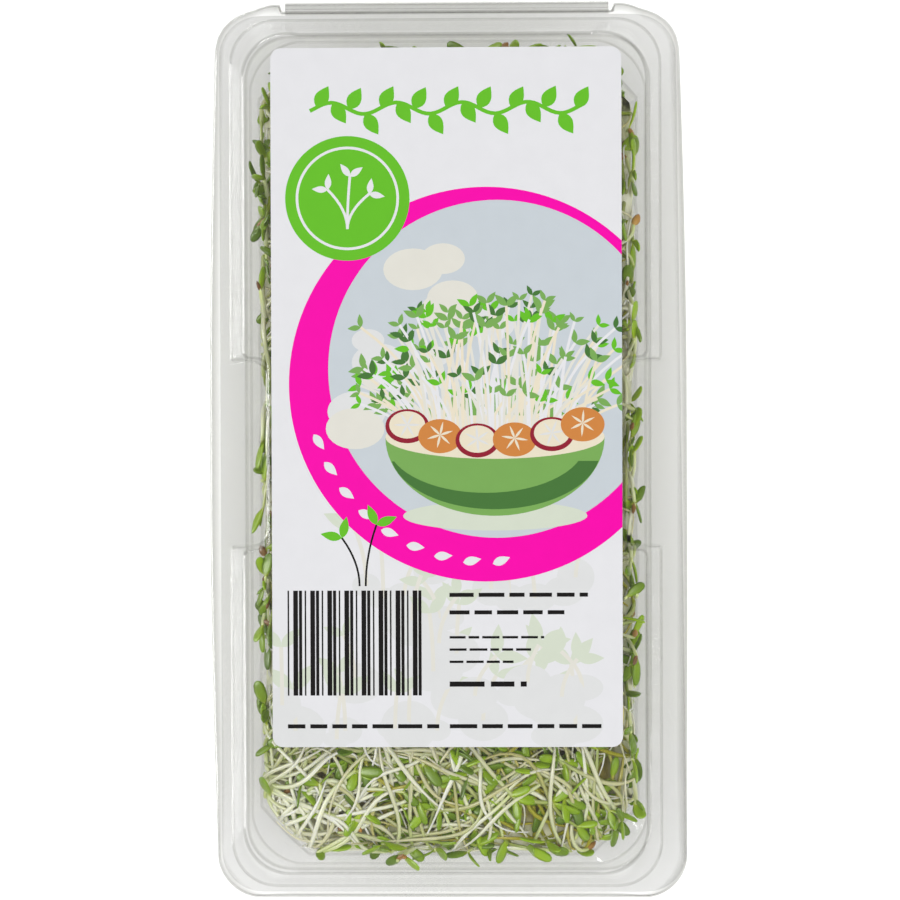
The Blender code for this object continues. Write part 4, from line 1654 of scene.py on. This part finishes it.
@dataclass
class Label:
    """The paper label, printed with a generic ring, a badge, seedlings and plain bars."""

    corner: float = 2.4
    corner_steps: int = 8
    lift: float = 0.05
    thickness: float = 0.14
    merge: float = 1e-4
    seed: int = 5
    ghosts: int = 34
    ghost_room: tuple[Pair, Pair] = ((-38.0, 34.0), (-78.0, -38.0))
    ring: tuple[tuple[Ink, Pair, float, int], ...] = (
        (Ink.MAGENTA, (9.0, 3.0), 45.0, 160), (Ink.SKY, (11.5, 6.5), 38.5, 140))
    petals: int = 9
    petal_start: float = 196.0
    petal_pitch: float = 9.5
    petal_radius: float = 41.0
    petal_turn: float = 1.9
    petal_size: Pair = (4.2, 2.0)
    badge_middle: Pair = (-22.5, 45.5)
    badge: tuple[tuple[Ink, float, int], ...] = (
        (Ink.GREEN, 14.2, 96), (Ink.PAPER, 11.8, 80), (Ink.GREEN, 11.2, 80))
    badge_foot: float = 38.5
    badge_sprigs: tuple[Pair, ...] = ((-4.5, 9.0), (0.6, 12.0), (5.0, 8.0))
    garland_half: float = 31.0
    garland_points: int = 64
    garland_y: float = 66.0
    garland_wave: float = 1.3
    garland_rate: float = 0.42
    garland_stem: float = 0.9
    garland_leaves: int = 17
    garland_start: float = -29.5
    garland_pitch: float = 3.7
    garland_turns: Pair = (1.05, -1.0)
    garland_leaf: Pair = (5.6, 3.3)
    code_bars: int = 24
    code_left: float = -36.5
    code_pitch: float = 1.3
    code_span: Pair = (-68.0, -44.0)
    code_widths: Triple = (0.45, 0.9, 1.35)
    code_fill: float = 0.8
    rows: tuple[tuple[float, float, float, float], ...] = (
        (0.5, -45.5, 1.5, 31.0), (0.5, -49.5, 1.5, 26.0), (0.5, -55.0, 0.9, 21.0),
        (0.5, -57.8, 0.9, 18.0), (0.5, -60.6, 0.9, 14.0), (0.5, -66.0, 1.9, 17.0),
        (0.5, -75.5, 1.5, 34.0), (-36.5, -75.5, 1.5, 34.0))
    dash: Pair = (2.2, 4.6)
    dash_height: float = 0.62
    dash_gap: float = 0.75
    dash_over: float = 0.6
    code_sprigs: tuple[Triple, ...] = ((-20.0, 11.0, -4.0), (-18.6, 14.0, 2.5))
    code_sprig_foot: float = -43.0
    bowl_middle: float = 11.0
    bowl_rim: float = -9.0
    bowl_points: int = 40
    seedlings: int = 150
    seedling_spread: float = 20.0
    seedling_room: float = 33.0
    clouds: int = 13
    rounds: tuple[Pair, ...] = (
        (-9.0, -6.5), (-1.5, -8.8), (7.0, -9.8), (15.5, -9.6), (24.0, -8.4), (31.0, -6.2))
    round_spokes: int = 6
    inks: tuple[tuple[Ink, str, Colour], ...] = (
        (Ink.PAPER, "paper_bare", linear(236, 236, 239)),
        (Ink.MAGENTA, "ink_magenta", (1.0, 0.0, 0.44)),
        (Ink.GREEN, "ink_green", linear(106, 196, 44)),
        (Ink.BLACK, "ink_black", linear(24, 22, 22)),
        (Ink.SKY, "ink_sky", linear(206, 214, 220)),
        (Ink.CREAM, "ink_cream", linear(240, 230, 206)),
        (Ink.LEAF, "ink_leaf", linear(126, 176, 92)),
        (Ink.DEEP_LEAF, "ink_deep_leaf", linear(74, 122, 60)),
        (Ink.ORANGE, "ink_orange", linear(214, 138, 70)),
        (Ink.CRIMSON, "ink_crimson", linear(150, 34, 54)),
        (Ink.GHOST_LEAF, "ink_ghost_leaf", linear(218, 226, 208)),
        (Ink.GHOST_STEM, "ink_ghost_stem", linear(232, 230, 220)),
        (Ink.GHOST_FIELD, "ink_ghost_field", linear(229, 230, 230)),
        (Ink.BACK, "paper_back", linear(232, 232, 230)),
    )

    def outline(self, half_x: float, half_y: float, centre_y: float) -> list[Pair]:
        """The label's edge.

        Args:
            half_x: half its width.
            half_y: half its length.
            centre_y: its middle along the pack.

        Returns:
            The edge's points.
        """
        turn = corner_turn(half_x, half_y, self.corner, 0.0, self.corner_steps)
        half = [(x, -y) for x, y in reversed(turn)] + turn
        ring = ring_from(half, 0.0)
        return [(x, y + centre_y) for x, y, _ in ring]

    def draw(self, sheet: Print) -> None:
        """Draw the design.

        Args:
            sheet: takes the shapes.
        """
        rng = np.random.default_rng(self.seed)
        for _ in range(self.ghosts):
            place = sheet.at(*[rng.uniform(*span) for span in self.ghost_room])
            sheet.disc(Ink.GHOST_FIELD, place, rng.uniform(3.0, 7.0), rng.uniform(0.5, 1.0), 24)
            sheet.sprig(Ink.GHOST_STEM, Ink.GHOST_LEAF, place, rng.uniform(8, 14),
                        rng.uniform(-5, 5), rng.uniform(5, 8), 0.9)
        for ink, centre, radius, steps in self.ring:
            sheet.disc(ink, sheet.at(*centre), radius, steps=steps)
        self.fill_ring(sheet, rng)
        self.ring_petals(sheet)
        for ink, radius, steps in self.badge:
            sheet.disc(ink, sheet.at(*self.badge_middle), radius, steps=steps)
        foot = sheet.at(self.badge_middle[0], self.badge_foot)
        for lean, height in self.badge_sprigs:
            sheet.sprig(Ink.PAPER, Ink.PAPER, foot, height, lean, 3.6, 0.6)
        self.garland(sheet)
        low, high = self.code_span
        for step in range(self.code_bars):
            width = self.code_widths[step * 5 % 3]
            left = self.code_left + step * self.code_pitch
            sheet.bar(Ink.BLACK, sheet.at(left, low), sheet.at(left + width * self.code_fill, high))
        for left, low, height, length in self.rows:
            self.words(sheet, rng, sheet.at(left, low), height, length)
        for x, height, lean in self.code_sprigs:
            foot = sheet.at(x, self.code_sprig_foot)
            sheet.sprig(Ink.BLACK, Ink.GREEN, foot, height, lean, 5.0, 0.45)

    def ring_petals(self, sheet: Print) -> None:
        """Draw the row of small leaves on the ring.

        Args:
            sheet: takes the shapes.
        """
        x, y = self.ring[0][1]
        for step in range(self.petals):
            angle = math.radians(self.petal_start + self.petal_pitch * step)
            base = sheet.at(x + self.petal_radius * math.cos(angle),
                            y + self.petal_radius * math.sin(angle))
            sheet.leaf(Ink.PAPER, base, angle + self.petal_turn, *self.petal_size)

    def garland(self, sheet: Print) -> None:
        """Draw a wavy stem with leaves on both sides.

        Args:
            sheet: takes the shapes.
        """
        def on_stem(x: float) -> Pair:
            """The stem's place at this distance across."""
            return sheet.at(x, self.garland_y + self.garland_wave * math.sin(x * self.garland_rate))

        xs = np.linspace(-self.garland_half, self.garland_half, self.garland_points)
        sheet.stroke(Ink.GREEN, [on_stem(x) for x in xs], self.garland_stem)
        for step in range(self.garland_leaves):
            x = self.garland_start + self.garland_pitch * step
            sheet.leaf(Ink.GREEN, on_stem(x), self.garland_turns[step % 2], *self.garland_leaf)

    def words(self, sheet: Print, rng: np.random.Generator, start: Pair, height: float,
              length: float) -> None:
        """Draw a row of plain dashes of word length.

        Args:
            sheet: takes the shapes.
            rng: the source of random draws.
            start: the row's lower left corner.
            height: the dashes' height.
            length: the row's length.
        """
        reach = 0.0
        while reach < length:
            dash = min(rng.uniform(*self.dash) * height, length - reach + self.dash_over)
            sheet.bar(Ink.BLACK, (start[0] + reach, start[1]),
                      (start[0] + reach + dash, start[1] + height * self.dash_height))
            reach += dash + self.dash_gap * height

    def fill_ring(self, sheet: Print, rng: np.random.Generator) -> None:
        """Draw the ring's inside: a bowl heaped with seedlings and rounds of vegetables.

        Args:
            sheet: takes the shapes.
            rng: the source of random draws.
        """
        middle, rim = self.bowl_middle, self.bowl_rim
        for step in range(self.clouds):
            shade = Ink.GHOST_STEM if step % 2 else Ink.GHOST_FIELD
            place = sheet.at(rng.uniform(-22, 36), rng.uniform(-10, 34))
            sheet.disc(shade, place, rng.uniform(3, 7), 0.7, 28)
        sheet.disc(Ink.GHOST_LEAF, sheet.at(middle, -27.0), 21.0, 0.16, 48)
        for ink, drop, (wide, deep), turns in (
                (Ink.LEAF, 0.0, (25.0, 18.0), (math.pi, 2 * math.pi)),
                (Ink.DEEP_LEAF, 3.0, (24.0, 13.5), (math.pi * 1.06, math.pi * 1.94))):
            sheet.area(ink, [sheet.at(middle + wide * math.cos(a), rim - drop + deep * math.sin(a))
                             for a in np.linspace(*turns, self.bowl_points)])
        sheet.disc(Ink.LEAF, sheet.at(middle - 2.0, rim - 1.5), 22.5, 0.5, 60)
        sheet.disc(Ink.CREAM, sheet.at(middle, rim), 25.0, 0.2, 60)
        self.plant_bowl(sheet, rng)
        for step, (x, y) in enumerate(self.rounds):
            if step % 2:
                rind, flesh, spoke_ink = Ink.ORANGE, Ink.ORANGE, Ink.CREAM
            else:
                rind, flesh, spoke_ink = Ink.CRIMSON, Ink.CREAM, Ink.GHOST_FIELD
            sheet.disc(rind, sheet.at(x, y), 5.0, 0.78, 40)
            sheet.disc(flesh, sheet.at(x, y + 0.3), 4.1, 0.76, 36)
            for spoke in range(self.round_spokes):
                angle = spoke * math.pi / 3.0 + 0.3 * step
                sheet.leaf(spoke_ink, sheet.at(x, y + 0.3), angle, 3.1, 0.55)

    def plant_bowl(self, sheet: Print, rng: np.random.Generator) -> None:
        """Draw the bowl's seedlings, which stay inside the ring.

        Args:
            sheet: takes the shapes.
            rng: the source of random draws.
        """
        view_x, view_y = self.ring[-1][1]
        for step in range(self.seedlings):
            foot = rng.uniform(-self.seedling_spread, self.seedling_spread)
            lean = foot * rng.uniform(0.2, 0.8) + rng.uniform(-6, 6)
            height = rng.uniform(9.0, 33.0) * (1.0 - (foot / 30.0) ** 2)
            tip = (self.bowl_middle + foot + lean, self.bowl_rim + height)
            if math.hypot(tip[0] - view_x, tip[1] - view_y) > self.seedling_room:
                continue
            stem = (Ink.CREAM, Ink.GHOST_STEM, Ink.PAPER)[step % 3]
            leaf = (Ink.LEAF, Ink.DEEP_LEAF, Ink.GREEN, Ink.LEAF)[step % 4]
            place = sheet.at(self.bowl_middle + foot, self.bowl_rim + rng.uniform(-1, 2))
            sheet.sprig(stem, leaf, place, height, lean, rng.uniform(2.4, 3.8), 0.6)

    def build(self) -> bpy.types.Object:
        """Cut the label into its printed areas and put it in the frame.

        Returns:
            The label's piece.
        """
        low, high = box_mm("label")
        middle = (low.y + high.y) / 2.0
        edge = self.outline((high.x - low.x) / 2.0, (high.y - low.y) / 2.0, middle)
        sheet = Print(middle)
        sheet.area(Ink.PAPER, edge)
        self.draw(sheet)
        places, faces, inks = [], [], []
        for ink, points in sheet.outlines:
            faces.append(list(range(len(places), len(places) + len(points))))
            places += [Vector(point) for point in points]
            inks.append(ink)
        cut = geometry.delaunay_2d_cdt(places, [], faces, 1, self.merge, True)
        top = Lid().panel_z + self.lift + self.thickness
        kept = [(face, max(ids)) for face, ids in zip(cut[2], cut[5]) if 0 in ids]
        corners = np.array([(place.x, place.y, top) for place in cut[0]])
        mesh = mesh_of("label", corners, [tuple(face) for face, _ in kept])
        papers = [PrintedPaper(name, colour).material() for _, name, colour in self.inks]
        piece = add_piece("label_sheet", mesh, papers)
        mesh.polygons.foreach_set("material_index", [inks[number].value for _, number in kept])
        mesh.shade_flat()
        solid = piece.modifiers.new("paper", "SOLIDIFY")
        solid.thickness = self.thickness * MM
        solid.offset = -1.0
        solid.material_offset = solid.material_offset_rim = Ink.BACK.value
        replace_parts(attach(piece, Body.LID.value), "label")
        return piece


@dataclass
class Studio:
    """A pale floor, soft light and a camera that looks almost straight down."""

    eye: Triple = (16.5, 7.5, 750.0)
    tilt_x: float = 0.59
    tilt_y: float = -1.28
    roll: float = 0.17
    focal_pixels: float = 3092.5
    floor_half: float = 3000.0
    far_clip: float = 20.0
    aim: Triple = (0.0, 0.0, 20.0)
    sky: float = 0.5
    table_tone: float = 0.95
    table_glow: float = 0.2
    see_through: int = 32

    def camera(self) -> None:
        """Make the camera."""
        lens = bpy.data.cameras.new("camera")
        lens.sensor_width = SENSOR
        lens.lens = self.focal_pixels * SENSOR / PHOTO_PIXELS
        lens.clip_end = self.far_clip
        item = bpy.data.objects.new("camera", lens)
        bpy.context.scene.collection.objects.link(item)
        turns = ((self.roll, "Z"), (self.tilt_y, "Y"), (self.tilt_x, "X"))
        roll, yaw, nod = (Matrix.Rotation(math.radians(turn), 3, axis) for turn, axis in turns)
        view = roll @ yaw @ nod
        item.matrix_world = Matrix.Translation(Vector(self.eye) * MM) @ view.transposed().to_4x4()
        bpy.context.scene.camera = item

    def lamp(self, name: str, place: Triple, size: Pair, power: float,
             role: Role = Role.SOFT) -> None:
        """Add a soft light that faces the pack.

        Args:
            name: the light's name.
            place: where it stands, in millimetres.
            size: its width and height in metres.
            power: its power in watts.
            role: what it is for.
        """
        light = bpy.data.lights.new(name, "AREA")
        light.shape = "RECTANGLE"
        light.size, light.size_y = size
        light.energy = power
        item = bpy.data.objects.new(name, light)
        item.location = Vector(place) * MM
        aim = Vector(self.aim) * MM - item.location
        item.rotation_euler = aim.to_track_quat("-Z", "Y").to_euler()
        item.visible_diffuse = role is Role.SOFT
        item.visible_glossy = role is Role.SPARKLE
        bpy.context.scene.collection.objects.link(item)

    def floor(self) -> None:
        """Add the floor."""
        half = self.floor_half
        corners = np.array([(-half, -half, 0.0), (half, -half, 0.0), (half, half, 0.0),
                            (-half, half, 0.0)])
        nodes = Nodes.blank("lit_table")
        shader = nodes.add("BsdfPrincipled", Roughness=0.9,
                           Base_Color=(self.table_tone, self.table_tone, self.table_tone, 1.0),
                           Emission_Color=(1.0, 1.0, 1.0, 1.0), Emission_Strength=self.table_glow)
        table = nodes.finish(shader.outputs[0])
        item = add_piece("floor", mesh_of("floor", corners, [(0, 1, 2, 3)]), [table])

    def build(self) -> None:
        """Make the whole studio."""
        scene = bpy.context.scene
        scene.view_settings.view_transform = "Standard"
        scene.cycles.transparent_max_bounces = self.see_through
        world = bpy.data.worlds.new("studio")
        world.use_nodes = True
        background = world.node_tree.nodes["Background"]
        background.inputs["Color"].default_value = (self.sky, self.sky, self.sky, 1.0)
        scene.world = world
        self.floor()
        self.lamp("key", (-80.0, 10.0, 1650.0), (1.2, 1.2), 16.6)
        self.lamp("fill", (900.0, -500.0, 1400.0), (0.9, 1.2), 7.0)
        self.lamp("left_sparkle", (-900.0, 0.0, 620.0), (0.5, 1.5), 32.0, Role.SPARKLE)
        self.lamp("corner_sparkle", (820.0, -800.0, 560.0), (0.4, 0.4), 1.6, Role.SPARKLE)
        self.lamp("dew_sparkle", (-350.0, 720.0, 850.0), (0.3, 0.3), 6.0, Role.SPARKLE)
        self.camera()


def main() -> None:
    """Build the pack, its label, the sprouts and the studio."""
    logging.basicConfig(level=logging.INFO, format="%(name)s: %(message)s")
    tray_film = ClearSheet("tray_film", (0.893, 0.893, 0.891), (0.92, 0.92, 0.916)).material()
    lid_film = ClearSheet("lid_film", (0.954, 0.954, 0.953), (0.92, 0.92, 0.917)).material()
    pieces = [Tray().build(tray_film), Lid().build(lid_film), Label().build(), *Sprouts().build()]
    for piece in pieces:
        LOG.info("%s: %d faces", piece.name, len(piece.data.polygons))
    Studio().build()


if __name__ == "__main__":
    main()
